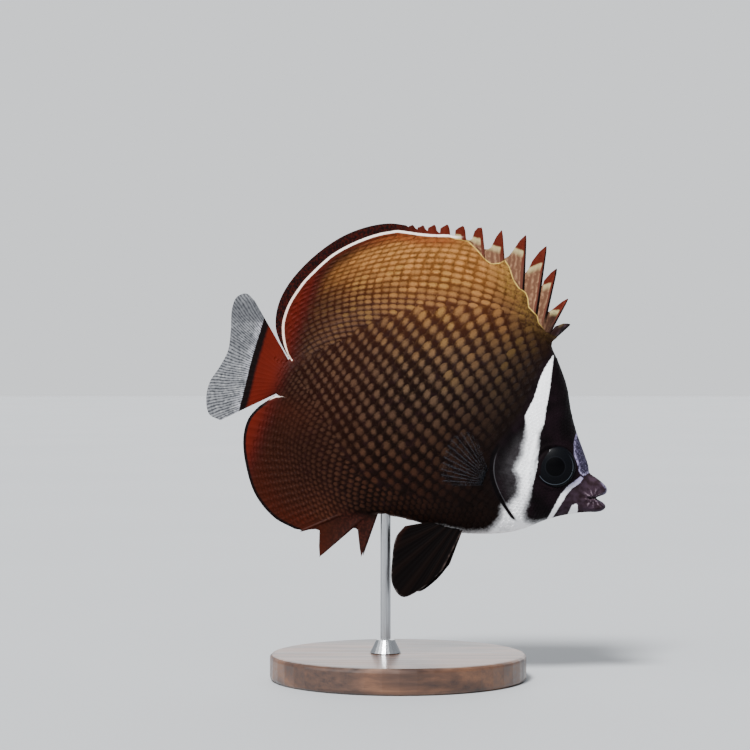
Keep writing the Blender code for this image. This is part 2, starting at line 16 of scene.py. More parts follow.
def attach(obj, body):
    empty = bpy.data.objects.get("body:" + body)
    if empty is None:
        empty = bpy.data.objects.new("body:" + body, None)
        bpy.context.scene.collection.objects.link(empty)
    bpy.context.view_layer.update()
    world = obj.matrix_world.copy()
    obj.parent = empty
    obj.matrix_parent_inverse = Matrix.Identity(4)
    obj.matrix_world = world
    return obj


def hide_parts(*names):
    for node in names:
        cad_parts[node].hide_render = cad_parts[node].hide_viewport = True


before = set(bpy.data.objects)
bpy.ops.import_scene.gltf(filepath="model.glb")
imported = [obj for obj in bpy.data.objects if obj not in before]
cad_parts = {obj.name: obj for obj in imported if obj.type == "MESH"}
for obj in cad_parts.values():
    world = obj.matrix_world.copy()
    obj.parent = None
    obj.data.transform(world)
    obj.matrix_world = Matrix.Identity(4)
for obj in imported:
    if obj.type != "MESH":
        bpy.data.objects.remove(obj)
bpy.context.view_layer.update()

bl_info = {
    "name": "Redtail butterflyfish",
    "version": (1, 0, 0),
    "blender": (4, 5, 0),
    "location": "View3D > Sidebar > Butterflyfish",
    "description": "Builds a life-size redtail butterflyfish on a display stand",
    "category": "Add Mesh",
}

MM = 0.001
RIGHT = -1
LEFT = 1

# Pose over the stand
NOSE_DOWN = math.radians(20)
SNOUT_X = 81
SNOUT_Z = 71.6

# Side profile of the body without its fins, as stations and heights
BACK_LINE = (
    (-2, 2.6), (5.6, 5), (8.9, 6), (10.6, 8.8), (13.8, 12.8), (19.7, 19.9), (24.2, 26.6),
    (28.5, 34.2), (33, 40), (38.8, 46.1), (44, 50.2), (52, 53), (63, 53.8), (83, 50.8),
    (101.5, 43.6), (117.8, 30.6), (128.5, 14.8), (133.6, 7.6), (138, 6),
)
BELLY_LINE = (
    (-2, -6.2), (5.4, -9), (12.5, -12.8), (19, -17.3), (24, -21.8), (30.2, -26.3), (38, -29.9),
    (47, -32.8), (58, -34.4), (70.5, -35.4), (79, -36.8), (85, -38.1), (92, -38.3), (102, -35.2),
    (117.5, -25.4), (127.6, -13.6), (132, -7.8), (138, -6),
)
HALF_WIDTHS = (
    (-2, 2.4), (4.4, 3.7), (10, 5.2), (16, 7.3), (23, 9.2), (32, 11), (42, 12.1), (54, 12.3),
    (68, 11.4), (85, 9.2), (102, 6.6), (117, 4.4), (127, 3.2), (134.4, 2.4), (138, 2.2),
)
NAPE_TO_FIN = (36, 50)
BELLY_TO_FIN = (76, 90)
FIN_TO_STALK = (131.5, 134.2)
FIN_ROOT = 2
ROOT_SHARE = 0.55
ROOT_FADE = 5

# Outline of the lips, from the chin to the bridge of the snout, and the mouth in it
LIP_LINE = (
    (6, -9.25), (3.6, -8.35), (0.9, -7.3), (-0.9, -6), (-1.5, -4.6), (-0.9, -3.6), (0.3, -3.05),
    (1.7, -2.8), (3.1, -2.3), (2.1, -1.3), (1.1, -0.45), (0.35, 0.3), (0.1, 1.6), (0.7, 2.8),
    (2.2, 3.8), (4, 4.5), (6, 5.1),
)
SNOUT_STATION = 9.5
MOUTH_CORNER = (4.6, -2.7)
MOUTH = ((3.1, -2.3), (4.6, -2.7), (6.2, -3.5))
LIP_FOLD = ((2.4, -3.9), (0.8, -4.35), (-0.8, -4.75))
HEAD_STATION = 50
CAUDAL_STATION = 134.3

# Grid of the skin
LIP_COLUMNS = 24
LIP_ROUNDED = 60
LIP_ROUND = 2.7
HEAD_COLUMNS = 84
BODY_COLUMNS = 99
BODY_ROWS = 97
FIN_SPLIT = 3
DORSAL_ROWS = 40
ANAL_ROWS = 32
CAUDAL_ROWS = 56

# Fins
PAIRED_ROWS = 34
RAY_RIDGE = 0.2
SPINE_HALF = 0.9
SPINE_ROOM = 0.32
SPINE_TAPER = 0.5
MEMBRANE_SAG = 0.14
NO_DROP = 9

# Spines: root station, tip station and height, the share of the spine that the membrane ahead
# covers, how far below the tip the membrane behind starts, and how far behind the spine
DORSAL_SPINES = (
    (40.9, 35.8, 57.9, 0.97, 5, 3.9), (42.9, 40, 67, 0.10, 5.5, 3.3),
    (45.4, 48.2, 76.5, 0.33, 5.8, 4.2), (49, 55, 83.3, 0.50, 6.6, 5),
    (54.8, 64, 84.6, 0.54, 6.2, 5), (61.5, 73.5, 83.2, 0.65, 6.6, 4.9),
    (68.5, 81.7, 81.9, 0.71, 4.8, 4.3), (75, 88.3, 79.6, 0.82, 3.6, 4),
    (81, 94.2, 78, 0.86, 3, 3.7), (86.5, 98.9, 76.2, 0.92, 2.2, 3.3),
    (91.5, 103, 74.5, 0.955, 1.5, 2.8), (96.5, 106.9, 73.2, 0.975, 0.8, 2),
)
DORSAL_RAYS = 26
DORSAL_RAY_ROOTS = (99, 133.4)
DORSAL_MARGIN = (
    (109.2, 72.2), (115.4, 70.7), (123.5, 66.2), (131.8, 58.7), (139.8, 46.6), (144.6, 34),
    (145.3, 25), (143.4, 17.6), (140.6, 13.6), (137.2, 10.3), (134.7, 8.2),
)
ANAL_SPINES = (
    (81.8, 81.5, -55.4, 0.97, 9.6, 5.1), (84.9, 96.9, -61, 0.32, 7.2, 8),
    (90.2, 107.2, -54.2, 0.84, 0.8, 0.8),
)
ANAL_RAYS = 20
ANAL_RAY_ROOTS = (93.6, 132.8)
ANAL_MARGIN = (
    (109.6, -53.9), (118.4, -52.5), (128.3, -46.7), (135.9, -37), (140.4, -27.5), (141.2, -20),
    (139.2, -14.3), (136.9, -10.9), (134.4, -7.6),
)

CAUDAL_RAYS = 17
CAUDAL_MARGIN = (
    (151.2, -24), (156.2, -23.2), (159.4, -17.5), (160.2, -11.5), (158.6, -4.5), (157.7, 2.5),
    (159.4, 10.4), (161.8, 18.5), (161.6, 23.4), (158.6, 25.9), (154.6, 24.4),
)
PECTORAL_ROOT = (47, -9.4)
PECTORAL_ROOT_HEIGHT = 6
PECTORAL_RAYS = 15
PECTORAL_REACH = (
    (56, 15.5), (47, 19.4), (30, 20.5), (10, 18.7), (-8, 18), (-24, 16.5), (-33, 13),
)
PECTORAL_SINK = 1
PECTORAL_RISE = 2.3
PECTORAL_RISE_OVER = 1.5
PECTORAL_SPREAD = 0.5
PELVIC_ROOT = ((47.6, -31), (56, -32.2))
PELVIC_MARGIN = (
    (50, -48.6), (54.6, -57.4), (61.2, -64), (66.6, -60.6), (69.8, -52), (71.4, -43), (69.6, -37.9),
)
PELVIC_RAYS = 6
PELVIC_APART = 2.3
PELVIC_SPLAY = {RIGHT: 0.1, LEFT: 0.3}
PELVIC_SWING = {RIGHT: 0, LEFT: math.radians(8)}
PELVIC_REACH = {RIGHT: 1, LEFT: 0.88}

# Fine streaks and ripples from one ray to the next
TAIL_STREAKS = 3
SKIN_RIPPLES = 2
PELVIC_RIPPLES = 4

# Head
EYE_AT = (23.2, 3.75)
EYE_RADIUS = 8.1
EYE_HALF_DEPTH = 3
EYE_SUNK = 1.35
GILL_LINE = (
    (26.6, -23), (33, -18.6), (39.6, -13.4), (44.6, -7.2), (46.5, -0.5), (45.2, 6.5), (41.9, 14.5),
    (40.6, 20),
)
CHEEK_LINE = ((33.4, 12), (32.6, 2), (30, -8), (24.5, -16.5))
NOSTRILS = ((14.6, 8.6, 0.62), (13, 7.2, 0.5))


def smooth_path(points, steps=14):
    """A centripetal Catmull-Rom curve through the points, as an array of points."""
    p = np.array(points, float)
    p = np.vstack([2 * p[0] - p[1], p, 2 * p[-1] - p[-2]])
    made = []
    for i in range(1, len(p) - 2):
        chords = np.linalg.norm(np.diff(p[i - 1:i + 3], axis=0), axis=1)
        knots = np.concatenate([[0], np.cumsum(chords**0.5)])
        t = np.linspace(knots[1], knots[2], steps, endpoint=False)[:, None]
        a = [
            (p[i - 1 + k] * (knots[k + 1] - t) + p[i + k] * (t - knots[k]))
            / (knots[k + 1] - knots[k])
            for k in range(3)
        ]
        b = [
            (a[k] * (knots[k + 2] - t) + a[k + 1] * (t - knots[k])) / (knots[k + 2] - knots[k])
            for k in range(2)
        ]
        made.append((b[0] * (knots[2] - t) + b[1] * (t - knots[1])) / (knots[2] - knots[1]))
    return np.vstack([*made, p[-2:-1]])


def points_of(*parts):
    """Points from each of their coordinates."""
    return np.stack(np.broadcast_arrays(*parts), axis=-1)


def along(path, shares):
    """Points at these shares of a path's length."""
    steps = np.linalg.norm(np.diff(path, axis=0), axis=1)
    length = np.concatenate([[0], np.cumsum(steps)])
    wanted = np.asarray(shares, float) * length[-1]
    return points_of(*(np.interp(wanted, length, path[:, k]) for k in range(2)))


BACK = smooth_path(BACK_LINE)
BELLY = smooth_path(BELLY_LINE)
WIDTHS = smooth_path(HALF_WIDTHS)


def read(path, station):
    """The height or width that a profile has at a station."""
    return np.interp(station, path[:, 0], path[:, 1])


def ease(value, limits):
    """0 at the first limit, 1 at the second, and smooth between."""
    t = np.clip((np.asarray(value, float) - limits[0]) / (limits[1] - limits[0]), 0, 1)
    return t * t * (3 - 2 * t)


def bell(value, width):
    """1 at nothing, falling smoothly away over the width."""
    return np.exp(-((np.asarray(value, float) / width) ** 2))


def edge_blend(station, above):
    """How much the body's edge at a station is a fin's root: 0 is a free, rounded edge."""
    start = np.where(above, ease(station, NAPE_TO_FIN), ease(station, BELLY_TO_FIN))
    return start * (1 - ease(station, FIN_TO_STALK))


def root_half(station, above):
    """Half thickness of the body's edge, where a fin grows from it."""
    return edge_blend(station, above) * np.minimum(FIN_ROOT, ROOT_SHARE * read(WIDTHS, station))


def flank(station, height):
    """Half thickness of the body at a place in its side view."""
    top, bottom, width = read(BACK, station), read(BELLY, station), read(WIDTHS, station)
    t = (height - (top + bottom) / 2) / ((top - bottom) / 2)
    edge = root_half(station, t > 0)
    power = 0.5 + 0.5 * edge_blend(station, t > 0)
    return edge + (width - edge) * np.clip(1 - t * t, 0, 1) ** power


def distance_to(path, places):
    """Distance from each place to a path, in the side view."""
    flat = places.reshape(-1, 2)
    starts, steps = path[:-1], np.diff(path, axis=0)
    best = np.full(len(flat), 1e9)
    for start, step in zip(starts, steps):
        share = np.clip((flat - start) @ step / (step @ step), 0, 1)
        best = np.minimum(best, np.linalg.norm(flat - start - share[:, None] * step, axis=1))
    return best.reshape(places.shape[:-1])


def inside(outline, places):
    """Whether each place is inside a closed outline in the side view."""
    x, y = places.reshape(-1, 2).T
    found = np.zeros(len(x), bool)
    for (ax, ay), (bx, by) in zip(outline, np.roll(outline, -1, axis=0)):
        if ay != by:
            cross = (by - y) / (by - ay) * ax + (y - ay) / (by - ay) * bx
            found ^= ((ay > y) != (by > y)) & (x < cross)
    return found.reshape(places.shape[:-1])


def depth_in(outline, places):
    """Distance from a closed outline: more than nothing inside it, less outside."""
    outline = np.array(outline, float)
    closed = np.vstack([outline, outline[:1]])
    return np.where(inside(outline, places), 1, -1) * distance_to(closed, places)


def to_world(points):
    """Posed places in metres of points that are (station, sideways, height) in the fish's frame."""
    p = np.asarray(points, float)
    x, z = -p[..., 0], p[..., 2]
    ca, sa = math.cos(NOSE_DOWN), math.sin(NOSE_DOWN)
    return points_of(SNOUT_X + x * ca + z * sa, p[..., 1], SNOUT_Z - x * sa + z * ca) * MM


# Marks of the skin and the scales, as outlines or lines of stations and heights
WHITE_BAND = (
    (38, 44.6), (39.7, 38.6), (40.2, 34.3), (40.1, 30.2), (40, 24.9), (41, 18.6), (39.2, 14.5),
    (37.9, 10.2), (37.8, 7.3), (36.9, 3.4), (37.6, 0.3), (37.7, -2.7), (34.7, -5.2), (34, -7.9),
    (33.1, -11.2), (34.2, -13.9), (34.7, -15.9), (37, -17.3), (36, -21.7), (37.4, -26.3),
    (38.9, -28.8), (46, -32), (58, -33.9), (58, -36), (30, -36), (18, -20), (18, -16.6),
    (22.5, -19.6), (26.6, -19.8), (28.3, -17.1), (28.5, -12.4), (28.6, -8.9), (29.2, -3.2),
    (29.7, 1.4), (31.5, 7.8), (33.4, 13.3), (33, 17.9), (34.1, 23.4), (35.4, 31.9), (36.6, 37.4),
)
GREY_PATCH = (
    (39.5, 12), (41.7, 8.3), (43.5, 3.4), (44.9, -2.4), (44.1, -6.3), (40.8, -10.4), (36.7, -13.6),
    (34.2, -13.9), (33.1, -11.2), (34.7, -5.2), (37.7, -2.7), (36.9, 3.4), (37.9, 10.2),
)
SNOUT_STRIPE = (
    (12.4, 3.5), (14.1, 0.8), (16, -2), (17.3, -5.7), (17.9, -9.8), (18.2, -13.1), (18.7, -17.4),
    (16.9, -17), (16.1, -11.5), (15.5, -8.3), (15.1, -5.2), (13.7, -1.7), (11.7, 0.8), (10.9, 3.5),
)
BROW_PATCH = (
    (19.2, 19.1), (15.5, 20.5), (9.5, 16), (4.5, 10.4), (8.3, 7.2), (11.1, 4), (13.1, 4.7),
    (15.6, 8.3), (17.6, 10.5), (19.4, 15.8),
)
HEM = (
    (136.6, -10.9), (135.2, -9.6), (133.8, -8.3), (131.6, -7.3), (129.3, -6.9), (131.4, -6.8),
    (134, -7.3), (135.5, -9),
)
CHIN_SPOT = ((9.8, -6.8), (8.3, -9.8), (8, -11.8), (11.4, -12.8), (11.6, -9.9), (11.4, -8))
SHEATH_LINE = (
    (43.5, 51.6), (47.7, 54.1), (49.1, 56.5), (53.4, 58.5), (54.8, 61.6), (56.4, 63.4),
    (59.7, 64.3), (62.6, 66.5), (65.8, 70.6), (68.4, 72.6), (70.2, 70.4), (72.8, 69.4),
    (75.4, 70.1), (79.9, 72.6), (84.3, 74.6), (89, 73.9), (94, 73.6), (99.6, 72),
)
TAIL_LINE = (
    (145.2, -26), (145.9, -17.1), (146.3, -11.8), (146.8, -6.8), (147.6, -0.3), (148.1, 6.8),
    (148.5, 13.4), (148.8, 18.5), (149.4, 28),
)
WHITE_LINE = (
    (132.8, 7.4), (135.3, 9.4), (137.8, 12.6), (139.9, 16.5), (141.1, 20.2), (141.5, 24.2),
    (141.2, 29), (140.2, 33.5), (138.8, 38.2), (136.8, 42.6), (134.7, 46.9), (132.2, 51.2),
    (129.3, 54.9), (125.6, 58.8), (121.7, 62.3), (117.6, 65.4), (114.2, 67.4), (111.6, 68.8),
    (108.7, 69.5), (104.4, 70.4), (100.6, 71.3), (96.8, 72.4), (92.7, 73.9), (88.3, 74.8),
    (85.2, 76.1),
)
# Waves of the scales, backwards and across: terms of x**i * y**j over the flank
PATTERN_CENTRE = (85, 30)
PATTERN_REACH = 45
PATTERN_POWERS = [(i, j) for i in range(5) for j in range(5 - i) if i + j]
BODY_PATTERN = (
    (6.309, 0.884, 0.609, 0.174, 11.628, -0.984, -2.593, -0.505, 2.403, 4.106, 0.566, 2.756,
     0.877, 0.317),
    (6.584, -1.088, -0.794, -0.700, -4.152, 0.637, 0.658, 0.376, 0.885, 3.126, -0.312, -0.609,
     0.575, 0.194),
)
DORSAL_PATTERN = (
    (24.972, -12.051, 3.293, 3.562, 4.710, -7.099, 9.266, -3.135, 1.820, -0.010, 8.485, 1.178,
     1.806, 1.262),
    (6.012, -12.428, 16.418, -8.353, -13.021, 3.773, 9.833, -13.970, -0.434, 3.426, -10.112,
     0.074, -7.549, -0.304),
)
DORSAL_FROM = (
    (36, 52), (52, 53.5), (67.8, 53.2), (76, 50.2), (85.7, 46), (101, 39), (112, 28.5), (118, 20.5),
    (126, 12), (135, 7),
)
ANAL_FROM = (
    (28, -20), (45, -22), (60, -23.5), (75, -26), (86, -27), (95.7, -24), (106, -15), (117.3, -5),
    (126, 2), (135, 6.5),
)

# Lie of the scales: station, height, angle, exposed length and width
ANAL_LIE = (
    (94, -45, -60, 1.7, 1.9), (106, -42, -52, 1.5, 1.6), (120, -33, -38, 1.25, 1.35),
    (131, -16, -18, 1.2, 1.3), (128, -40, -45, 1.1, 1.2), (109, -18, 0, 2.4, 2.9),
    (121, -5, 8, 1.7, 2.1), (134, 2, 5, 1.2, 1.4), (97, -26, -10, 2.7, 3.3), (76, -33, 4, 2.4, 3),
    (60, -28, 8, 2.3, 2.9), (46, -27, 10, 2.1, 2.6),
)
HEAD_LIE = (
    (33, 34, 60, 1.5, 1.9), (36, 10, 30, 1.5, 1.9), (36, -12, 10, 1.4, 1.8), (26, 22, 50, 1.2, 1.5),
    (22, -10, -10, 1, 1.3), (13, 6, 10, 0.9, 1.1),
)

# Outlines that part the head and the snout from the rest
HEAD_AREA = (
    (38, 46.5), (39.9, 38.6), (40.6, 30.2), (41, 20), (42.4, 14.5), (45.5, 6.5), (46.7, -0.5),
    (44.8, -7.2), (39.8, -13.4), (33.2, -18.6), (27, -24), (20, -32), (-12, -32), (-12, 46.5),
)
SNOUT_AREA = (
    (9, 8.5), (10.9, 3.5), (11.7, 0.8), (13.7, -1.7), (15.1, -5.2), (15.5, -8.3), (16.1, -11.5),
    (16.9, -18), (-8, -20), (-8, 10),
)
AREAS = {
    "white_band": WHITE_BAND, "grey_patch": GREY_PATCH, "snout_stripe": SNOUT_STRIPE,
    "brow_patch": BROW_PATCH, "hem": HEM, "chin_spot": CHIN_SPOT, "head": HEAD_AREA,
    "snout": SNOUT_AREA,
}

GILL = smooth_path(GILL_LINE)
GILL_COVER = np.vstack([GILL, [(5, 20), (5, -23)]])
CHEEK = smooth_path(CHEEK_LINE)
LIPS = smooth_path(LIP_LINE, 8)
MOUTH_PATH = smooth_path(MOUTH, 6)
LIP_FOLD_PATH = smooth_path(LIP_FOLD, 6)
DORSAL_EDGE = smooth_path([s[1:3] for s in DORSAL_SPINES] + list(DORSAL_MARGIN[1:]), 8)
ANAL_EDGE = smooth_path([s[1:3] for s in ANAL_SPINES[1:]] + list(ANAL_MARGIN), 8)
SHEATH = np.array(SHEATH_LINE, float)
TAIL = smooth_path(TAIL_LINE, 4)
LINE = smooth_path(WHITE_LINE, 4)
LINE_AREA = np.vstack([LINE, [
    (30, 76.1), (30, -90), (200, -90), (200, 45), (156, 35), (149, 20.5), (138, 10.3),
]])


def marks(places):
    """The values that colour a place of the skin or of a scale, mostly in millimetres."""
    s, z = places[..., 0], places[..., 1]
    gill, sheath, tail, line = (distance_to(path, places) for path in (GILL, SHEATH, TAIL, LINE))
    mouth, fold = distance_to(MOUTH_PATH, places), distance_to(LIP_FOLD_PATH, places)
    behind, over = s - MOUTH_CORNER[0], z - MOUTH_CORNER[1]
    return {name: depth_in(area, places) for name, area in AREAS.items()} | {
        "along": s,
        "up": z,
        "gill": np.where(inside(GILL_COVER, places), gill, -gill),
        "sheath": np.where(z > read(SHEATH, s), sheath, -sheath) - 40 * ease(s, (98, 104)),
        "line": np.where(inside(LINE_AREA, places), -line, line),
        "anal": distance_to(ANAL_EDGE, places),
        "rim": z - read(BELLY, s),
        "mouth": np.minimum(mouth, fold + 0.15),
        "lip": distance_to(LIPS, places),
        "corner": np.hypot(behind, over),
        "fold": np.arctan2(over, behind),
        "tail": np.where(s > np.interp(z, TAIL[:, 1], TAIL[:, 0]), tail, -tail),
        "eye": np.hypot(s - EYE_AT[0], z - EYE_AT[1]),
    }


def relief(places):
    """What the eye's rim, gill cover, cheek, nostrils and lips add to the half thickness."""
    s, z = places[..., 0], places[..., 1]
    eye = np.hypot(s - EYE_AT[0], z - EYE_AT[1])
    gill = distance_to(GILL, places)
    gill = np.where(inside(GILL_COVER, places), gill, -gill)
    cover = 0.55 * np.exp(-np.maximum(gill, 0) / 4) * ease(gill, (-0.45, 0.6))
    cover -= 0.22 * bell(gill + 0.75, 0.55)
    cover *= (1 - ease(z, (-4, 9))) * ease(z, (-24, -19))
    cheek = distance_to(CHEEK, places)
    added = 0.38 * bell(eye - 8.3, 0.7) - 0.6 * bell(eye - 7.3, 0.65)
    added += cover + 0.3 * bell(cheek, 1) - 0.12 * bell(cheek - 1.3, 0.8)
    for at_s, at_z, size in NOSTRILS:
        away = np.hypot(s - at_s, z - at_z)
        added += 0.22 * bell(away - size, 0.3) - 0.7 * bell(away, size * 0.7)
    mouth = distance_to(MOUTH_PATH, places)
    fold = distance_to(LIP_FOLD_PATH, places)
    added += 0.28 * bell(mouth - 1, 0.5) - 0.75 * bell(mouth, 0.32) - 0.35 * bell(fold, 0.4)
    corner = np.array(MOUTH_CORNER)
    around = np.arctan2(z - corner[1], s - corner[0])
    added += 0.13 * np.sin(9 * around) * bell(np.hypot(s - corner[0], z - corner[1]) - 2.4, 2.2)
    lips = distance_to(LIPS, places)
    added += 0.22 * bell(lips - 1.1, 0.6) * (1 - ease(s, (3.5, 6)))
    added -= 0.14 * bell(lips - 2.2, 0.35) * (1 - ease(s, (3.5, 6)))
    return added * ease(flank(s, z), (0.4, 2.6))


def crowded(count, edge=12):
    """Shares from 0 to 1 whose steps shrink towards both ends."""
    steps = np.minimum(np.arange(count - 1), np.arange(count - 1)[::-1])
    sizes = np.minimum(1, 0.05 + steps / edge)
    return np.concatenate([[0], np.cumsum(sizes)]) / sizes.sum()


def body_grid():
    """Places and half thickness of the body, from the lips to the tail fin's root."""
    v = crowded(BODY_ROWS)
    head = np.linspace(SNOUT_STATION, HEAD_STATION, HEAD_COLUMNS)
    rear = np.linspace(HEAD_STATION, CAUDAL_STATION, BODY_COLUMNS)
    stations = np.concatenate([head, rear[1:]])
    bottom, top = read(BELLY, stations), read(BACK, stations)
    body = points_of(stations[:, None], bottom[:, None] + (top - bottom)[:, None] * v)
    u = np.linspace(0, 1, LIP_COLUMNS, endpoint=False)[:, None, None]
    lip = along(LIPS, v)[None]
    low = np.linspace(LIPS[0, 0], SNOUT_STATION, LIP_COLUMNS, endpoint=False)
    high = np.linspace(LIPS[-1, 0], SNOUT_STATION, LIP_COLUMNS, endpoint=False)
    below, above = points_of(low, read(BELLY, low)), points_of(high, read(BACK, high))
    below[0], above[0] = LIPS[0], LIPS[-1]
    vv = v[None, :, None]
    corners = (
        (1 - u) * (1 - vv) * LIPS[0] + u * (1 - vv) * body[0, 0]
        + (1 - u) * vv * LIPS[-1] + u * vv * body[0, -1]
    )
    front = (1 - vv) * below[:, None] + vv * above[:, None] + (1 - u) * lip + u * body[:1] - corners
    places = np.concatenate([front, body])
    s, z = places[..., 0], places[..., 1]
    half = flank(s, z)
    edge = np.vstack([LIPS, BACK[BACK[:, 0] > 6.5], BELLY[BELLY[:, 0] > 6.5]])
    part = slice(LIP_ROUNDED)
    away = np.minimum(distance_to(LIPS, places[part]), distance_to(edge, places[part]))
    lip_half = read(WIDTHS, s[part]) * np.sqrt(1 - (1 - np.clip(away / LIP_ROUND, 0, 1)) ** 2)
    share = ease(s[part], (4, SNOUT_STATION))
    half[part] = half[part] * share + lip_half * (1 - share)
    half[0] = 0
    half[half < 0.02] = 0
    depth = settings("coat").depth / MM
    half = np.where(half > 0, half + relief(places) - depth * ease(half, (0.5, 2)), 0)
    return places, np.maximum(half, 0)


def spine_half(spines, n):
    """Half the width of a spine at its root, as far as its neighbour allows."""
    other = spines[n - 1 if n == len(spines) - 1 else n + 1]
    return min(SPINE_HALF, SPINE_ROOM * abs(spines[n][0] - other[0]))


def spine_side(reach):
    """The direction across a spine, towards the fish's rear."""
    return np.array((abs(reach[1]), -reach[0] * np.sign(reach[1]))) / math.hypot(*reach)


def fin_margin(path, spines, blunt, soft_roots, soft_margin, stations):
    """Where the column from each root station ends, and each column's ray count."""
    knots, ends = [], []
    tips = np.array([s[1:3] for s in spines])
    roots = np.array([(s[0], read(path, s[0])) for s in spines])
    for n, spine in enumerate(spines):
        half = spine_half(spines, n)
        reach = tips[n] - roots[n]
        axis = reach / np.hypot(*reach)
        back = spine_side(reach)
        drop, width = spine[4], spine[5] - 0.5
        round_ = blunt * (0.25 + 0.75 * float(ease(spine[4], (5.6, 4))))
        knots += [spine[0] + half * k for k in (-1, -0.62, -0.28, 0, 0.3, 0.66, 1)]
        ends += [
            roots[n] + reach * spine[3] - back * half * 0.8,
            tips[n] - axis * min(2.2, drop) - back * half * (0.3 + 0.55 * round_),
            tips[n] - axis * min(0.6, drop / 2) - back * (0.1 + 0.4 * round_),
            tips[n],
            tips[n] - axis * min(0.6, drop / 2) + back * (0.15 + (0.1 + 0.42 * width) * round_),
            tips[n] - axis * (0.35 * drop + 0.2) + back * width * (0.38 + 0.5 * round_),
            tips[n] - axis * drop + back * width,
        ]
        if n < len(spines) - 1:
            other = tips[n + 1] - roots[n + 1]
            room = spine_half(spines, n + 1)
            notch = roots[n + 1] + other * spines[n + 1][3] - spine_side(other) * room * 0.8
            knots.append((spine[0] + half + spines[n + 1][0] - room) / 2)
            gap = np.hypot(*(notch - ends[-1]))
            ends.append((ends[-1] + notch) / 2 - axis * MEMBRANE_SAG * gap)
    nearest = [stations[np.argmin(abs(stations - k))] for k in knots]
    shares = np.clip((stations - soft_roots[0]) / (soft_roots[1] - soft_roots[0]), 0, 1)
    soft = along(smooth_path(soft_margin), shares)
    nearest.append(soft_roots[0])
    ends.append(np.array(soft_margin[0], float))
    ends = np.array(ends)
    spiny = points_of(*(np.interp(stations, nearest, ends[:, k]) for k in range(2)))
    rear = (stations > soft_roots[0])[:, None]
    return np.where(rear, soft, spiny), shares


def spine_relief(places, path, spines):
    """Height of the spines, and each place's side, rearward distance and depth at its spine."""
    best = np.zeros(places.shape[:-1])
    side = np.zeros(places.shape[:-1])
    rear = np.full(places.shape[:-1], 99)
    drop = np.full(places.shape[:-1], NO_DROP)
    for n, spine in enumerate(spines):
        root = np.array((spine[0], read(path, spine[0])))
        reach = np.array(spine[1:3]) - root
        share = np.clip((places - root) @ reach / (reach @ reach), 0, 1)
        away = places - root - share[..., None] * reach
        across = away @ spine_side(reach)
        width = spine_half(spines, n) * (1 - share * (1 - SPINE_TAPER)) * 1.05
        t = np.clip(across / width, -1, 1)
        height = SPINE_HALF * (1 - share * (1 - SPINE_TAPER)) * np.sqrt(1 - t * t)
        height[np.linalg.norm(away, axis=-1) > width] = 0
        side = np.where(height > best, across / width, side)
        best = np.maximum(best, height)
        depth = (np.array(spine[1:3]) - places) @ reach / math.hypot(*reach) - spine[4]
        mine = (across > -spine_half(spines, n) - 0.3) & (across < rear)
        rear, drop = np.where(mine, across, rear), np.where(mine, depth, drop)
    return best, side, np.clip(rear, -1, 9), np.clip(drop, -9, 9)


def fan(roots, margin, shares):
    """Places from a fin's roots to its margin, and their distances from both."""
    v = shares[None, :, None]
    places = roots[:, None] * (1 - v) + margin[:, None] * v
    out = np.linalg.norm(places - roots[:, None], axis=-1)
    return places, out, np.linalg.norm(margin[:, None] - places, axis=-1)


def ray_ridge(phase):
    """1 on each ray and 0 halfway to the next."""
    return (0.5 + 0.5 * np.cos(2 * np.pi * phase)) ** 1.5


def root_membrane(root, out, thin):
    """Half thickness of a fin, from its root's to its own."""
    return thin + (np.maximum(root, 0.3) - thin) * np.exp(-out / ROOT_FADE)


def quads(numbers):
    """The faces between neighbouring rows and columns of numbered points."""
    corners = numbers[:-1, :-1], numbers[:-1, 1:], numbers[1:, 1:], numbers[1:, :-1]
    return points_of(*corners).reshape(-1, 4)


class Sheet:
    """Places, half thicknesses, ray values and faces of one side of a closed surface."""

    def __init__(self):
        self.places, self.half, self.rays, self.faces = [], [], [], []

    def add(self, places, half, rays):
        """Adds points and gives their numbers. Each has six ray values, as ray_values gives."""
        start = len(self.places)
        self.places.extend(places.reshape(-1, 2))
        self.half.extend(half.reshape(-1))
        self.rays.extend(rays.reshape(-1, 6))
        return np.arange(start, len(self.places)).reshape(places.shape[:-1])

    def grid(self, numbers, flip=False):
        """Adds the faces of a grid of points."""
        self.faces.extend(quads(numbers)[:, ::-1 if flip else 1].tolist())


def ray_values(out, phase, spine=0, side=0, rear=9, drop=NO_DROP):
    """Reach, ray count, and the height, side, rearward distance and depth of spine_relief."""
    return points_of(out, phase, spine, side, rear, drop)


NO_RAYS = ray_values(0, 0)


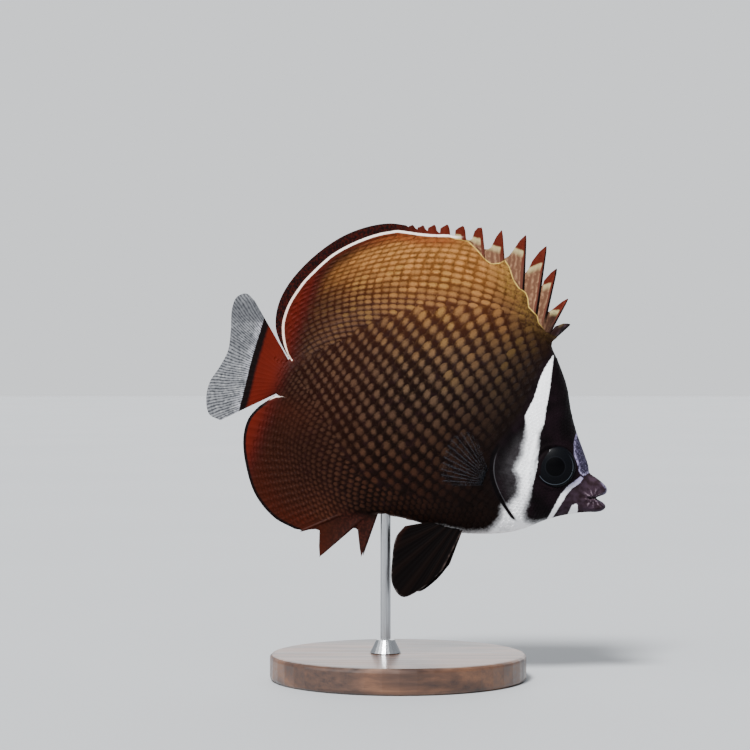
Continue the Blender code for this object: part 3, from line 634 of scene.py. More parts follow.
def add_fin(sheet, body, path, spines, soft_roots, soft_margin, ray_count, rows, above):
    """Adds a median fin on the body's edge, with its columns split finer than the body's."""
    row, next_row = (-1, -2) if above else (0, 1)
    stations = np.array([sheet.places[n][0] for n in body[:, row]])
    first = np.searchsorted(stations, spines[0][0] - spine_half(spines, 0))
    last = np.argmin(abs(stations - soft_roots[1]))
    numbers = []
    for i in range(first, last):
        a, b = body[i, row], body[i + 1, row]
        shares = np.arange(1, FIN_SPLIT) / FIN_SPLIT
        pa, pb = np.array(sheet.places[a]), np.array(sheet.places[b])
        ha, hb = sheet.half[a], sheet.half[b]
        no_rays = np.zeros((len(shares), 6)) + NO_RAYS
        extra = sheet.add(pa + (pb - pa) * shares[:, None], ha + (hb - ha) * shares, no_rays)
        numbers += [a, *extra]
        ring = [body[i, next_row], a, *extra, b, body[i + 1, next_row]]
        sheet.faces.append(ring if above else ring[::-1])
    numbers.append(body[last, row])
    roots = np.array([sheet.places[n] for n in numbers])
    root_thickness = np.array([sheet.half[n] for n in numbers])[:, None]
    margin, shares = fin_margin(path, spines, float(above), soft_roots, soft_margin, roots[:, 0])
    v = np.linspace(0, 1, rows + 1)[1:]
    places, out, left = fan(roots, margin, v)
    membrane = root_membrane(root_thickness, out, 0.16)
    membrane *= 0.45 + 0.55 * ease(left, (0, 2))
    phase = (shares * (ray_count - 1))[:, None] + 0 * out
    soft = ease(roots[:, 0], (soft_roots[0] - 1, soft_roots[0] + 1))[:, None]
    ridge = soft * RAY_RIDGE * ray_ridge(phase)
    membrane += ridge * (1 - np.exp(-out / ROOT_FADE)) * (1 - 0.6 * ease(v, (0.6, 1)))
    spine, side, rear, drop = spine_relief(places, path, spines)
    drop = np.where((roots[:, 0] > soft_roots[0])[:, None], NO_DROP, drop)
    half = np.maximum(membrane, spine * ease(out, (0, 3)))
    made = sheet.add(places, half, ray_values(out, phase, spine, side, rear, drop))
    sheet.grid(np.concatenate([np.array(numbers)[:, None], made], axis=1), not above)
    return first, last


def add_tail(sheet, body):
    """Adds the tail fin on the last column of the body."""
    roots = np.array([sheet.places[n] for n in body[-1]])
    root_thickness = np.array([sheet.half[n] for n in body[-1]])[:, None]
    shares = (roots[:, 1] - roots[0, 1]) / (roots[-1, 1] - roots[0, 1])
    margin = along(smooth_path(CAUDAL_MARGIN), shares)
    v = np.linspace(0, 1, CAUDAL_ROWS + 1)[1:]
    places, out, left = fan(roots, margin, v)
    membrane = root_membrane(root_thickness, out, 0.18)
    membrane *= 0.4 + 0.6 * ease(left, (0, 2.5))
    phase = (shares * (CAUDAL_RAYS - 1))[:, None] + 0 * out
    ridge = RAY_RIDGE * ray_ridge(phase) * (0.35 + 0.45 * bell(places[..., 0] - 150.5, 3.5))
    half = membrane + ridge * (1 - np.exp(-out / ROOT_FADE)) * (1 - 0.5 * ease(v, (0.6, 1)))
    made = sheet.add(places, half, ray_values(out, phase))
    sheet.grid(np.concatenate([body[-1][:, None], made], axis=1), True)


def skin_sheet():
    """The body and its median fins as one side of one surface."""
    places, half = body_grid()
    sheet = Sheet()
    body = sheet.add(places, half, np.zeros((*half.shape, 6)) + NO_RAYS)
    top = add_fin(
        sheet, body, BACK, DORSAL_SPINES, DORSAL_RAY_ROOTS, DORSAL_MARGIN, DORSAL_RAYS,
        DORSAL_ROWS, True,
    )
    low = add_fin(
        sheet, body, BELLY, ANAL_SPINES, ANAL_RAY_ROOTS, ANAL_MARGIN, ANAL_RAYS, ANAL_ROWS, False
    )
    add_tail(sheet, body)
    sheet.grid(body[:, 1:-1])
    columns = np.arange(len(body) - 1)
    for rows, (first, last) in (((-2, -1), top), ((0, 1), low)):
        for i in columns[(columns < first) | (columns >= last)]:
            a, b = rows
            sheet.faces.append([body[i, a], body[i, b], body[i + 1, b], body[i + 1, a]])
    return sheet


def new_mesh(name, points, faces):
    """A mesh object of posed points, given in the fish's own millimetres."""
    mesh = bpy.data.meshes.new(name)
    mesh.from_pydata(to_world(points).tolist(), [], faces)
    obj = bpy.data.objects.new(name, mesh)
    bpy.context.scene.collection.objects.link(obj)
    return obj


def outward(obj, angle=40):
    """Turns a closed mesh's faces outwards and shades it smooth up to an angle."""
    bm = bmesh.new()
    bm.from_mesh(obj.data)
    bmesh.ops.recalc_face_normals(bm, faces=bm.faces)
    bm.to_mesh(obj.data)
    bm.free()
    obj.data.shade_smooth()
    obj.data.set_sharp_from_angle(angle=math.radians(angle))


def store(obj, values):
    """Keeps named values on an object's points, for its material."""
    for name, value in values.items():
        layer = obj.data.attributes.new(name, "FLOAT", "POINT")
        layer.data.foreach_set("value", np.asarray(value, np.float32).ravel())


def close_sheet(name, places, middle, half, faces, values, angle=40):
    """A closed surface from one side of it: the other side mirrors it about its middle."""
    count = len(places)
    twin = np.where(half < 1e-3, np.arange(count), np.arange(count) + count)
    rings = [list(f) for f in faces] + [[int(twin[v]) for v in reversed(f)] for f in faces]
    edges = {(a, b) for f in faces for a, b in zip(f, (*f[1:], f[0]))}
    for a, b in sorted(edges):
        if (b, a) not in edges:
            ring = list(dict.fromkeys((int(b), int(a), int(twin[a]), int(twin[b]))))
            if len(ring) > 2:
                rings.append(ring)
    used = np.unique(np.concatenate([np.arange(count), twin]))
    number = np.full(2 * count, -1)
    number[used] = np.arange(len(used))
    points = np.concatenate([
        points_of(places[:, 0], middle + side * half, places[:, 1]) for side in (RIGHT, LEFT)
    ])[used]
    obj = new_mesh(name, points, [[int(number[v]) for v in ring] for ring in rings])
    store(obj, {key: np.tile(value, 2)[used] for key, value in values.items()})
    outward(obj, angle)
    return obj


def shade(code):
    """A linear colour from the six digits that a picture editor shows."""
    parts = [int(code[i:i + 2], 16) / 255 for i in (0, 2, 4)]
    return tuple(c / 12.92 if c <= 0.04045 else ((c + 0.055) / 1.055) ** 2.4 for c in parts)


def opaque(colour):
    """A colour, given as three shares or as six digits, with full cover."""
    return (*(shade(colour) if isinstance(colour, str) else colour), 1)


class Value:
    """A number or a colour that a material works out at each place."""

    def __init__(self, shader, socket):
        self.shader, self.socket = shader, socket

    def __add__(self, other):
        return self.shader.math("ADD", self, other)

    def __sub__(self, other):
        return self.shader.math("SUBTRACT", self, other)

    def __mul__(self, other):
        return self.shader.math("MULTIPLY", self, other)

    def __truediv__(self, other):
        return self.shader.math("DIVIDE", self, other)


class Shader:
    """Builds one node material around a Principled surface."""

    def __init__(self, name, **fixed):
        self.material = bpy.data.materials.new(name)
        self.material.use_nodes = True
        self.tree = self.material.node_tree
        self.tree.nodes.clear()
        self.surface = self.node("ShaderNodeBsdfPrincipled")
        output = self.node("ShaderNodeOutputMaterial")
        self.tree.links.new(self.surface.outputs[0], output.inputs[0])
        for key, value in fixed.items():
            self.surface.inputs[key.replace("_", " ")].default_value = value
        self.place = Value(self, self.node("ShaderNodeTexCoord").outputs["Object"])

    def node(self, kind, **values):
        node = self.tree.nodes.new(kind)
        for key, value in values.items():
            setattr(node, key, value)
        return node

    def put(self, socket, value):
        """Links a socket to a value, or sets it to a number or a colour."""
        if isinstance(value, Value):
            self.tree.links.new(value.socket, socket)
        else:
            socket.default_value = opaque(value) if socket.type == "RGBA" else value

    def set(self, name, value):
        self.put(self.surface.inputs[name], value)

    def read(self, name):
        """The value that the mesh stores under a name."""
        return Value(self, self.node("ShaderNodeAttribute", attribute_name=name).outputs["Fac"])

    def math(self, operation, *values, clamp=False):
        node = self.node("ShaderNodeMath", operation=operation, use_clamp=clamp)
        for socket, value in zip(node.inputs, values):
            self.put(socket, value)
        return Value(self, node.outputs[0])

    def smooth(self, value, low, high, to_low=0, to_high=1):
        """Smooth steps from one value to another as the input goes from low to high."""
        node = self.node("ShaderNodeMapRange", interpolation_type="SMOOTHSTEP")
        if low > high:
            low, high, to_low, to_high = high, low, to_high, to_low
        for socket, v in zip(node.inputs, (value, low, high, to_low, to_high)):
            self.put(socket, v)
        return Value(self, node.outputs[0])

    def bell(self, value, width):
        """1 where the value is nothing, 0 from the width on."""
        return self.smooth(self.math("ABSOLUTE", value), width, 0)

    def mix(self, share, a, b):
        """The first colour where the share is 0, the second where it is 1."""
        node = self.node("ShaderNodeMix", data_type="RGBA")
        for number, value in zip((0, 6, 7), (share, a, b)):
            self.put(node.inputs[number], value)
        return Value(self, node.outputs[2])

    def ramp(self, value, stops):
        """Colours between stops, each a share and a colour."""
        node = self.node("ShaderNodeValToRGB")
        self.put(node.inputs[0], value)
        elements = node.color_ramp.elements
        for n, (at, colour) in enumerate(stops):
            stop = elements[n] if n < 2 else elements.new(at)
            stop.position, stop.color = at, opaque(colour)
        return Value(self, node.outputs[0])

    def noise(self, size, detail=2, stretch=None, roughness=0.5):
        """Noise from 0 to 1 whose blobs are this many millimetres across."""
        place = self.place
        if stretch:
            turn = self.node("ShaderNodeMapping")
            self.put(turn.inputs["Vector"], place)
            turn.inputs["Scale"].default_value = stretch
            place = Value(self, turn.outputs[0])
        node = self.node("ShaderNodeTexNoise")
        inputs = {"Vector": place, "Scale": 1 / (size * MM), "Detail": detail}
        for name, value in (inputs | {"Roughness": roughness}).items():
            self.put(node.inputs[name], value)
        return Value(self, node.outputs["Fac"])

    def bump(self, height, depth, strength):
        """Raises the surface by depth millimetres where the height is 1."""
        node = self.node("ShaderNodeBump")
        inputs = {"Strength": strength, "Distance": depth * MM, "Height": height}
        for name, value in inputs.items():
            self.put(node.inputs[name], value)
        self.set("Normal", Value(self, node.outputs[0]))


# The scales' light middles and dark surroundings, from the belly to the back; the climb from dark
# belly to gold back is partly the fish's own tones and partly painted shade of light from above
LIGHT_STOPS = (
    (0, "21120b"), (0.16, "321b11"), (0.28, "3a261a"), (0.4, "402e22"), (0.5, "493728"),
    (0.6, "563f2a"), (0.7, "65482b"), (0.78, "724e2c"), (0.88, "936538"), (1, "a9743f"),
)
DARK_STOPS = (
    (0, "0c0403"), (0.28, "0c0301"), (0.45, "0b0200"), (0.58, "130400"), (0.68, "240c01"),
    (0.78, "351704"), (0.88, "5a3513"), (1, "68421b"),
)


def body_colours(n, tint, own, along_, up, patchy):
    """Scaled skin from dark below to gold above, partly painted shade of light from above, rusty
    towards the fins' edges.
    """
    palette = settings("palette")
    anal, line = n.read("anal"), n.read("line")
    patches = patchy - 0.5
    # The level rises with height in the posed fish: partly the fish's own darker belly, partly
    # painted shade of light from above
    level = up * 0.0085 + along_ * 0.0022 + 0.175 + patches * 0.1
    light = n.ramp(level + (own - 0.5) * 0.06, LIGHT_STOPS)
    dark = n.ramp(level, DARK_STOPS)
    purple = n.smooth(n.noise(3.5), 0.5, 0.7) * n.smooth(up, 46, 30) * 0.55
    dark = n.mix(purple, dark, "190a0b")
    rear = n.smooth(along_, 84, 116) * n.smooth(up, 44, 30) * 0.65
    light = n.mix(rear, light, "42291d")
    dark = n.mix(rear * 0.8, dark, "1e0702")
    under = n.smooth(anal, 24, 9) * n.smooth(up, 0, -14) * 0.8
    light = n.mix(under, light, "3f1f12")
    dark = n.mix(under, dark, "230b04")
    gold = n.smooth(own, 0.4, 0.95) * n.smooth(n.noise(12, 1), 0.4, 0.6) * 0.22
    light = n.mix(gold, light, n.mix(n.smooth(up, 0, 60), light, palette.gold))
    colour = n.mix(tint, dark, light)
    reach = n.smooth(along_, 92, 135, 3, 6.5)
    near = n.smooth((line * -1 + patches * 4) / reach, 1.15, 0.3)
    near = near * n.smooth(along_, 96, 122) * n.smooth(up, 4, 13) * 0.9
    colour = n.mix(near, colour, n.mix(tint, "260c05", palette.rust))
    blush = n.smooth(line, -6, -1.5) * n.smooth(along_, 84, 94)
    blush = blush * n.smooth(along_, 128, 112) * 0.75
    colour = n.mix(blush, colour, n.mix(tint, "6b3216", "8c5029"))
    glow = n.smooth(anal + patches * 5, 11.5, 2.5) * n.smooth(up, -5, -15)
    colour = n.mix(glow, colour, n.mix(tint, "2a0c04", palette.anal_rust))
    olive = n.mix(n.smooth(n.noise(1, 4), 0.35, 0.65), "4e3516", "8a6a30")
    collar = n.smooth(n.read("sheath"), -9, -0.5) * n.smooth(along_, 76, 64) * 0.6
    colour = n.mix(collar * n.smooth(up, 44, 56), colour, olive)
    ahead = along_ + (up - 20) * 0.12
    return n.mix(n.smooth(ahead, 84, 42, 0, 0.85), colour, "0b0504")


def head_colours(n, colour, along_, up, patchy, fine, ragged):
    """The head's black, its snout and lips, the white, grey and lilac marks, and painted shade and
    highlights.
    """
    palette = settings("palette")
    band, gill, patch = n.read("white_band"), n.read("gill"), n.read("brow_patch")
    mottled = n.noise(2.6, 4)
    head = n.mix(n.smooth(patchy, 0.35, 0.75), palette.head, "150b10")
    colour = n.mix(n.smooth(n.read("head"), -3, 0.8), colour, head)
    grey = n.smooth(n.read("grey_patch"), -2.5, 3) * n.smooth(mottled, 0.2, 0.8, 0.35, 1)
    colour = n.mix(grey * n.smooth(band, -7, -0.2, 0.25, 1) * 0.62, colour, "454345")

    blotched = n.noise(2.4, 4)
    snout = n.mix(n.smooth(blotched, 0.3, 0.7), "1e1317", palette.snout)
    # Pale streaks on the wrinkles' raised ridges: partly the lips' own pale tone, partly painted
    # highlight on the ridges
    wrinkles = n.smooth(n.math("SINE", n.read("fold") * 9), 0.1, 0.95)
    wrinkles = wrinkles * n.smooth(n.read("corner"), 5.2, 1.2) * n.smooth(fine, 0.4, 0.65)
    snout = n.mix(wrinkles * 0.7, snout, palette.lips)
    # Painted highlight: a lilac rim along the lips' edge, strongest on the upper lip near its tip
    rim = n.smooth(n.read("lip"), 1.3, 0.3) * n.smooth(fine, 0.3, 0.65) * 0.7
    rim = rim * n.smooth(up, -1, 0.6, 0.12, 1) * n.smooth(along_, 4.5, 1.5)
    snout = n.mix(rim, snout, palette.lilac)
    colour = n.mix(n.smooth(n.read("snout"), -0.3, 0.3), colour, snout)
    # Painted shade: near black along the mouth's opening and the lip fold
    colour = n.mix(n.bell(n.read("mouth"), 0.5), colour, "060203")

    brow = n.mix(n.smooth(mottled, 0.35, 0.75), "201d2b", palette.brow)
    brow = n.mix(n.smooth(n.noise(0.5, 3), 0.45, 0.75, 0, 0.3), brow, palette.lilac)
    edge = n.smooth(patch, 1.1, 0.3) * n.smooth(n.noise(1.1, 3), 0.35, 0.6)
    brow = n.mix(edge, brow, palette.lilac)
    colour = n.mix(n.smooth(patch + ragged * 0.6, -0.25, 0.2), colour, brow)
    stripe = n.smooth(n.read("snout_stripe") + ragged, -0.2, 0.3)
    colour = n.mix(stripe, colour, n.mix(n.smooth(up, -9, 3), palette.white, palette.lilac))
    colour = n.mix(n.smooth(n.read("chin_spot") + ragged, -0.2, 0.2), colour, palette.white)

    # Painted shade: the white band greys towards the bottom, in blotches
    painted_low_shade = n.smooth(up, 10, -6) * n.smooth(blotched, 0.45, 0.75) * 0.35
    # The band also greys along its edge, low down
    band_edge_grey = n.smooth(band, 1.6, 0.2) * n.smooth(up, 22, 8) * 0.5
    chalk = n.mix(n.math("MAXIMUM", painted_low_shade, band_edge_grey), palette.white, "7d7d80")
    soft = n.smooth(up, 20, 6) * n.smooth(gill, 14, 8) * 1.5
    depth = band + ragged * (soft + 1)
    colour = n.mix(n.smooth(depth / (soft + 0.25), -1, 1), colour, chalk)

    # Painted shade: a near black line in the gill opening, under the cover's raised edge
    slit_shade = n.bell(gill + 0.75, 1.1) * n.smooth(up, 7, 0) * n.smooth(up, -21.8, -20) * 1.7
    colour = n.mix(n.math("MINIMUM", slit_shade, 1), colour, "040203")
    # Painted highlight: a faint pale line along the gill cover's raised edge, low down
    edge = n.bell(gill - 0.25, 0.28) * n.smooth(up, 2, -4) * 0.15
    return n.mix(edge * n.smooth(up, -22, -17), colour, "8d8f94")


def fin_colours(n, colour, along_, up, fine, ragged):
    """The spiny dorsal's bare membranes and the coloured edges of all median fins, with a painted
    shadow along the white line.
    """
    palette = settings("palette")
    sheath, line, rear, rim = (n.read(name) for name in ("sheath", "line", "spine_rear", "rim"))
    bare = n.smooth(sheath + ragged * 0.5, -0.25, 0.25)
    streak = n.smooth(n.math("SINE", rear * 3.1 + n.noise(3) * 9), -0.8, 1)
    streak = streak * n.smooth(n.noise(1.5, 4), 0.3, 0.65)
    membrane = n.mix(streak, "5a3d2d", palette.membrane)
    membrane = n.mix(n.smooth(along_, 50, 41), membrane, "1c0d0b")
    colour = n.mix(bare, colour, membrane)
    seam = n.bell(sheath, 0.36) * n.smooth(along_, 44, 50) * n.smooth(along_, 98, 90)
    colour = n.mix(seam * 0.85, colour, palette.sheath)

    lean = n.smooth(along_, 61, 63.5, -0.45, 0.25)
    drop = n.read("drop") + ragged * 0.9 + n.smooth(rear, 0, 6, 0, 6) * lean
    above = n.smooth(up + along_ * 0.3, 66, 73)
    cream = n.smooth(drop, 3.4, 0.6) * n.smooth(rear, 0.1, 0.9) * above * 0.75
    colour = n.mix(cream * n.smooth(fine, 0.15, 0.5, 0.5, 1), colour, palette.cream)
    tip = n.mix(n.smooth(along_, 98, 113), palette.spine_red, palette.margin_black)
    tip = n.mix(n.smooth(fine, 0.35, 0.7, 0, 0.6), tip, "3d0d05")
    colour = n.mix(n.smooth(drop, 0.5, -0.4) * above, colour, tip)
    outside = n.smooth(line + ragged * 0.25, 0.2, 0.5)
    colour = n.mix(outside * n.smooth(along_, 88, 94), colour, tip)
    first = n.smooth(up + along_ * 3.3, 186, 181)
    colour = n.mix(first * bare, colour, n.mix(streak, "0d080a", "2a1c20"))
    bone = n.smooth(n.read("spine"), 0.05, 0.25) * above * n.smooth(along_, 112, 104)
    red_side = n.smooth(n.read("side") + n.smooth(along_, 56, 80, 0.1, 1.3), 0, 0.6)
    shaft = n.mix(n.smooth(drop, 7, 0.5), "4d2a20", tip)
    colour = n.mix(bone * bare, colour, n.mix(red_side, palette.margin_black, shaft))

    line = (line + ragged * 0.3) / n.smooth(up, 6, 15, 0.45, 1)
    # Painted shadow: a dark red line just within the white line of the dorsal fin's rear part
    line_shadow = n.bell(line + 1.2, 0.8) * n.smooth(along_, 98, 116) * 0.75
    colour = n.mix(line_shadow, colour, "3c0f05")
    pinkish = n.mix(n.smooth(up, 50, 20, 0, 0.45), palette.line_white, "b98a70")
    white = n.smooth(line, 0.52, 0.3) * n.smooth(line, -0.62, -0.35) * n.smooth(along_, 86, 91)
    colour = n.mix(white, colour, pinkish)

    low = n.smooth(up, -38, -42) * n.smooth(along_, 100, 90) * 0.85
    colour = n.mix(low, colour, n.mix(n.smooth(fine, 0.4, 0.7), "1c0906", "30130d"))
    black = n.smooth(n.read("anal") + ragged * 0.7, 1.35, 0.8)
    black = black * n.smooth(along_, 96, 104) * n.smooth(up, -9, -13)
    colour = n.mix(black, colour, palette.margin_black)
    hem = n.smooth(n.read("hem") + ragged * 0.3, 0, 0.3)
    colour = n.mix(hem, colour, n.mix(0.3, palette.line_white, "8a6a5c"))
    belly = n.smooth(rim + ragged, 0.9, 0.1) * n.smooth(along_, 60, 70)
    belly = belly * n.smooth(along_, 84, 78) * n.smooth(rim, -0.6, -0.2) * 0.45
    return n.mix(belly, colour, "7d6a66")


def tail_colours(n, colour, along_, up, ragged):
    """The red base of the tail fin, its black band and its pale, streaked rear part."""
    palette = settings("palette")
    red = n.mix(n.smooth(along_, 131, 140), "2a0c09", palette.tail_red)
    red = n.mix(n.smooth(n.noise(3, 3), 0.35, 0.7) * 0.3, red, "3c0b04")
    colour = n.mix(n.smooth(along_ + ragged * 2, 129, 136), colour, red)
    tail = n.read("tail") + ragged * 0.8
    colour = n.mix(n.smooth(tail, -3.4, -1.9), colour, palette.margin_black)
    streak = n.math("COSINE", n.read("phase") * (TAIL_STREAKS * math.tau) + n.noise(8) * 9)
    streak = n.smooth(streak * 0.2 + n.noise(1.2, 4), 0.12, 0.85)
    pale = n.mix(streak, palette.tail_grey, palette.tail_pale)
    cloud = n.noise(7)
    shadow = n.smooth(cloud + n.smooth(up, -6, 16, -0.1, 0.12), 0.4, 0.7, 0, 0.5)
    pale = n.mix(shadow, pale, "303236")
    glint = n.smooth(tail, 3.2, 0.3) * n.smooth(cloud, 0.65, 0.4) * streak * 0.6
    pale = n.mix(glint, pale, "b4b4bc")
    bright = n.smooth(streak, 0.7, 1) * n.smooth(n.noise(3), 0.5, 0.7) * n.smooth(up, 6, -8) * 0.5
    pale = n.mix(bright, pale, "b9b9b6")
    return n.mix(n.smooth(tail, -0.2, 0.15), colour, pale)


def paint(n, tint, own):
    """The fish's colours at a place. The tint is 1 on a scale's pale middle and 0 around it."""
    along_, up = n.read("along"), n.read("up")
    patchy, fine = n.noise(9, 3), n.noise(0.8)
    ragged = (n.noise(0.9, 3) - 0.5) * 0.8
    colour = body_colours(n, tint, own, along_, up, patchy)
    colour = tail_colours(n, colour, along_, up, ragged)
    colour = fin_colours(n, colour, along_, up, fine, ragged)
    return head_colours(n, colour, along_, up, patchy, fine, ragged)


def skin_material():
    n = Shader("fish skin", Roughness=0.55, Specular_IOR_Level=0.05)
    n.set("Base Color", paint(n, n.smooth(n.noise(1.1), 0.4, 0.75, 0, 0.35), 0.5))
    rays = n.math("COSINE", n.read("phase") * (SKIN_RIPPLES * math.tau))
    rays = rays * n.smooth(n.read("out"), 2, 8)
    rays = rays * n.smooth(n.read("along"), 134, 138, 0.5, 0.12)
    n.bump(n.noise(0.5, 3) * 0.6 + rays, 0.07, 0.7)
    return n.material


def scale_material():
    n = Shader("fish scales", Roughness=0.55, Specular_IOR_Level=0.05)
    own, spot, lit_edge = n.read("scale_id"), n.read("spot"), n.read("lit_edge")
    along_, head = n.read("along"), n.read("head")
    away = spot + (n.noise(0.7, 4) - 0.5) * 0.9 + n.smooth(along_, 84, 56, 0, -0.28)
    tint = n.smooth(away, 1.28, 0.4) * n.smooth(own, 0, 1, 0.86, 1)
    # Painted shade and highlight: each scale's pale middle darkens towards its root, in the shadow
    # of the scale ahead, and brightens towards its free edge, which stays a little pale
    tint = tint * n.smooth(lit_edge, 0.2, 0.6, 0.68, 1.12)
    tint = n.math("MAXIMUM", tint, n.smooth(lit_edge, 0.45, 0.95) * 0.2)
    speckle = n.smooth(n.noise(0.3, 3), 0.3, 0.7, 0.72, 1.08)
    fading = n.smooth(n.read("line"), -2, -5.5, 0.4, 1) * n.smooth(head, -1, -11, 0.1, 1)
    fading = fading * n.smooth(along_, 135, 114, 0.4, 1)
    low = n.smooth(n.read("up"), 4, -20) * n.smooth(along_, 90, 116)
    n.set("Base Color", paint(n, tint * speckle * fading * (low * -0.68 + 1), own))
    rings = n.math("SINE", spot * 22)
    bead = n.smooth(away, 1.5, 0.1) * n.smooth(head, 1, -3, 0.05, 1)
    n.bump(rings * 0.03 + n.noise(0.35) * 0.1 + bead, 0.3, 0.8)
    return n.material


def steps_to_field(along_steps, up_steps):
    """The smooth field whose steps between neighbours come nearest to these."""
    rows, columns = along_steps.shape
    a = (along_steps[1:] + along_steps[:-1]) / 2
    b = (up_steps[:, 1:] + up_steps[:, :-1]) / 2
    source = np.zeros((rows, columns))
    source[:-1] -= a
    source[1:] += a
    source[:, :-1] -= b
    source[:, 1:] += b
    mirrored = np.block([[source, source[:, ::-1]], [source[::-1], source[::-1, ::-1]]])
    waves = (2 - 2 * np.cos(np.pi * np.arange(2 * rows) / rows))[:, None] + (
        2 - 2 * np.cos(np.pi * np.arange(2 * columns) / columns)
    )
    waves[0, 0] = 1
    spectrum = np.fft.fft2(mirrored) / waves
    spectrum[0, 0] = 0
    return np.fft.ifft2(spectrum).real[:rows, :columns]


def pattern_waves(pattern, s, z):
    """How many scales back and across each place is, by a measured pattern."""
    x, y = (s - PATTERN_CENTRE[0]) / PATTERN_REACH, (z - PATTERN_CENTRE[1]) / PATTERN_REACH
    terms = np.stack([x**i * y**j for i, j in PATTERN_POWERS], axis=-1)
    return terms @ np.array(pattern[0]), terms @ np.array(pattern[1])


def lie_waves(lie, s, z, step):
    """How many scales back and across each place is, from samples of the scales' lie."""
    samples = np.array(lie, float)
    away = (s[..., None] - samples[:, 0]) ** 2 + (z[..., None] - samples[:, 1]) ** 2
    weight = 1 / (away + 40) ** 2
    weight /= weight.sum(-1, keepdims=True)
    angle = np.radians(weight @ samples[:, 2])
    length, width = weight @ samples[:, 3], weight @ samples[:, 4]
    back = steps_to_field(np.cos(angle) / length * step, np.sin(angle) / length * step)
    side = steps_to_field(-np.sin(angle) / width * step, np.cos(angle) / width * step)
    return back, side


def scale_lattice(lie, stagger, wanted):
    """Places of the scales in one field, and their own steps backwards and across."""
    step = 0.5
    s, z = np.meshgrid(np.arange(2, 152, step), np.arange(-66, 88, step), indexing="ij")
    coarse = points_of(s[::2, ::2], z[::2, ::2])
    area = wanted(coarse.reshape(-1, 2), marks(coarse.reshape(-1, 2))).reshape(coarse.shape[:2])
    for _ in range(3):
        area[1:-1, 1:-1] |= area[2:, 1:-1] | area[:-2, 1:-1] | area[1:-1, 2:] | area[1:-1, :-2]
    area = area.repeat(2, axis=0).repeat(2, axis=1)
    back, side = pattern_waves(lie, s, z) if len(lie) == 2 else lie_waves(lie, s, z, step)
    back_s, back_z = np.gradient(back, step)
    side_s, side_z = np.gradient(side, step)
    row = np.round(back)
    shift = 0.5 * (row % 2) if stagger else 0 * row
    column = np.round(side - shift)
    to_row, to_column = row - back, column + shift - side
    det = back_s * side_z - back_z * side_s
    area &= det > 0.02
    frames = points_of(side_z, -side_s, -back_z, back_s) / det[..., None]
    places = points_of(s, z)
    places += frames[..., :2] * to_row[..., None] + frames[..., 2:] * to_column[..., None]
    near = np.exp(-12 * (to_row**2 + to_column**2))[area]
    _, group = np.unique((row * 4096 + column)[area], return_inverse=True)
    total = np.bincount(group, near)
    values = np.concatenate([places, frames], axis=-1)[area]
    means = points_of(*(np.bincount(group, near * v) / total for v in values.T))[total > 0.6]
    return means[:, :2], means[:, 2:4], means[:, 4:]


def field_edges(s):
    """Where the dorsal fin's scales start over the body's, and the anal fin's under them."""
    top = np.minimum(read(np.array(DORSAL_FROM), s), read(BACK, s) - 1)
    return top, np.maximum(read(np.array(ANAL_FROM), s), read(BELLY, s) + 0.5)


def on_body(places, marked):
    s, z = places.T
    top, low = field_edges(s)
    return (z < top) & (z > low) & (marked["head"] < 0.4) & (s > 26) & (s < 136)


def on_dorsal(places, marked):
    s, z = places.T
    return (
        (z >= field_edges(s)[0]) & (s > 40) & (s < 140)
        & (inside(FIN_TOP, places) | (z < read(BACK, s)))
        & (marked["sheath"] < -0.5) & (marked["line"] < -1.7)
    )


def on_anal(places, marked):
    s, z = places.T
    return (
        (z <= field_edges(s)[1]) & (s > 28) & (s < 136)
        & (inside(FIN_LOW, places) | (z > read(BELLY, s) + 0.3))
        & (marked["anal"] > 2.6) & (marked["head"] < 0.4)
        & ((z > -36.5 - 0.59 * np.maximum(s - 84, 0)) | (s > 108))
    )


def on_head(places, marked):
    s, z = places.T
    return (
        (z < read(BACK, s) - 0.7) & (z > read(BELLY, s) + 0.7) & (marked["head"] >= 0.4)
        & (marked["eye"] > 8.6) & (marked["snout"] < -0.5) & (marked["snout_stripe"] < -0.4)
        & (marked["brow_patch"] < -0.4) & (s > 15)
        & ((marked["gill"] > 0.8) | (marked["gill"] < -0.4) | (z > 15))
    )


FIN_TOP = np.vstack([DORSAL_EDGE, BACK[(BACK[:, 0] > 37) & (BACK[:, 0] < 134)][::-1] - (0, 2)])
FIN_LOW = np.vstack([
    [(87.5, -38), (92.5, -49)], ANAL_EDGE,
    BELLY[(BELLY[:, 0] > 84) & (BELLY[:, 0] < 134)][::-1] + (0, 2),
])


def unrolled(places):
    """Where places lie when the flank is rolled out flat, in millimetres."""
    s, z = places.T
    top, bottom = read(BACK, s), read(BELLY, s)
    middle = (top + bottom) / 2
    level = np.clip(z, bottom, top)
    heights = middle[:, None] + (level - middle)[:, None] * np.linspace(0, 1, 40)
    half = flank(np.broadcast_to(s[:, None], heights.shape), heights)
    length = np.hypot(np.diff(heights), np.diff(half)).sum(1) * np.sign(level - middle)
    steps = np.hypot(*np.diff(WIDTHS, axis=0).T)
    backwards = np.interp(s, WIDTHS[:, 0], np.concatenate([[0], np.cumsum(steps)]))
    return points_of(backwards, length + z - level)


ALONG_SHARES = np.array([0, 0.24, 0.44, 0.6, 0.76, 0.89, 1, 1])
ACROSS_SHARES = np.linspace(-1, 1, 9)
SCALE_HALF = 0.55
SCALE_ROOT = -0.85
SCALE_EDGE = 0.6
EDGE_ROUND = 0.36
BAKE_LENGTH = 180
BAKE_HEIGHT = 105


def cast_on(tree, places):
    """Height and normal of the right flank's skin at each place."""
    hits = np.zeros((len(places), 3))
    normals = np.zeros((len(places), 3))
    ahead = Vector((0, 1, 0))
    for n, (s, z) in enumerate(places):
        place, normal, _, _ = tree.ray_cast(Vector((s, -60, z)), ahead)
        if place is None:
            place, normal, _, _ = tree.find_nearest(Vector((s, -0.2, z)))
        hits[n] = place
        normals[n] = normal if normal.y < 0 else -normal
    return hits, normals


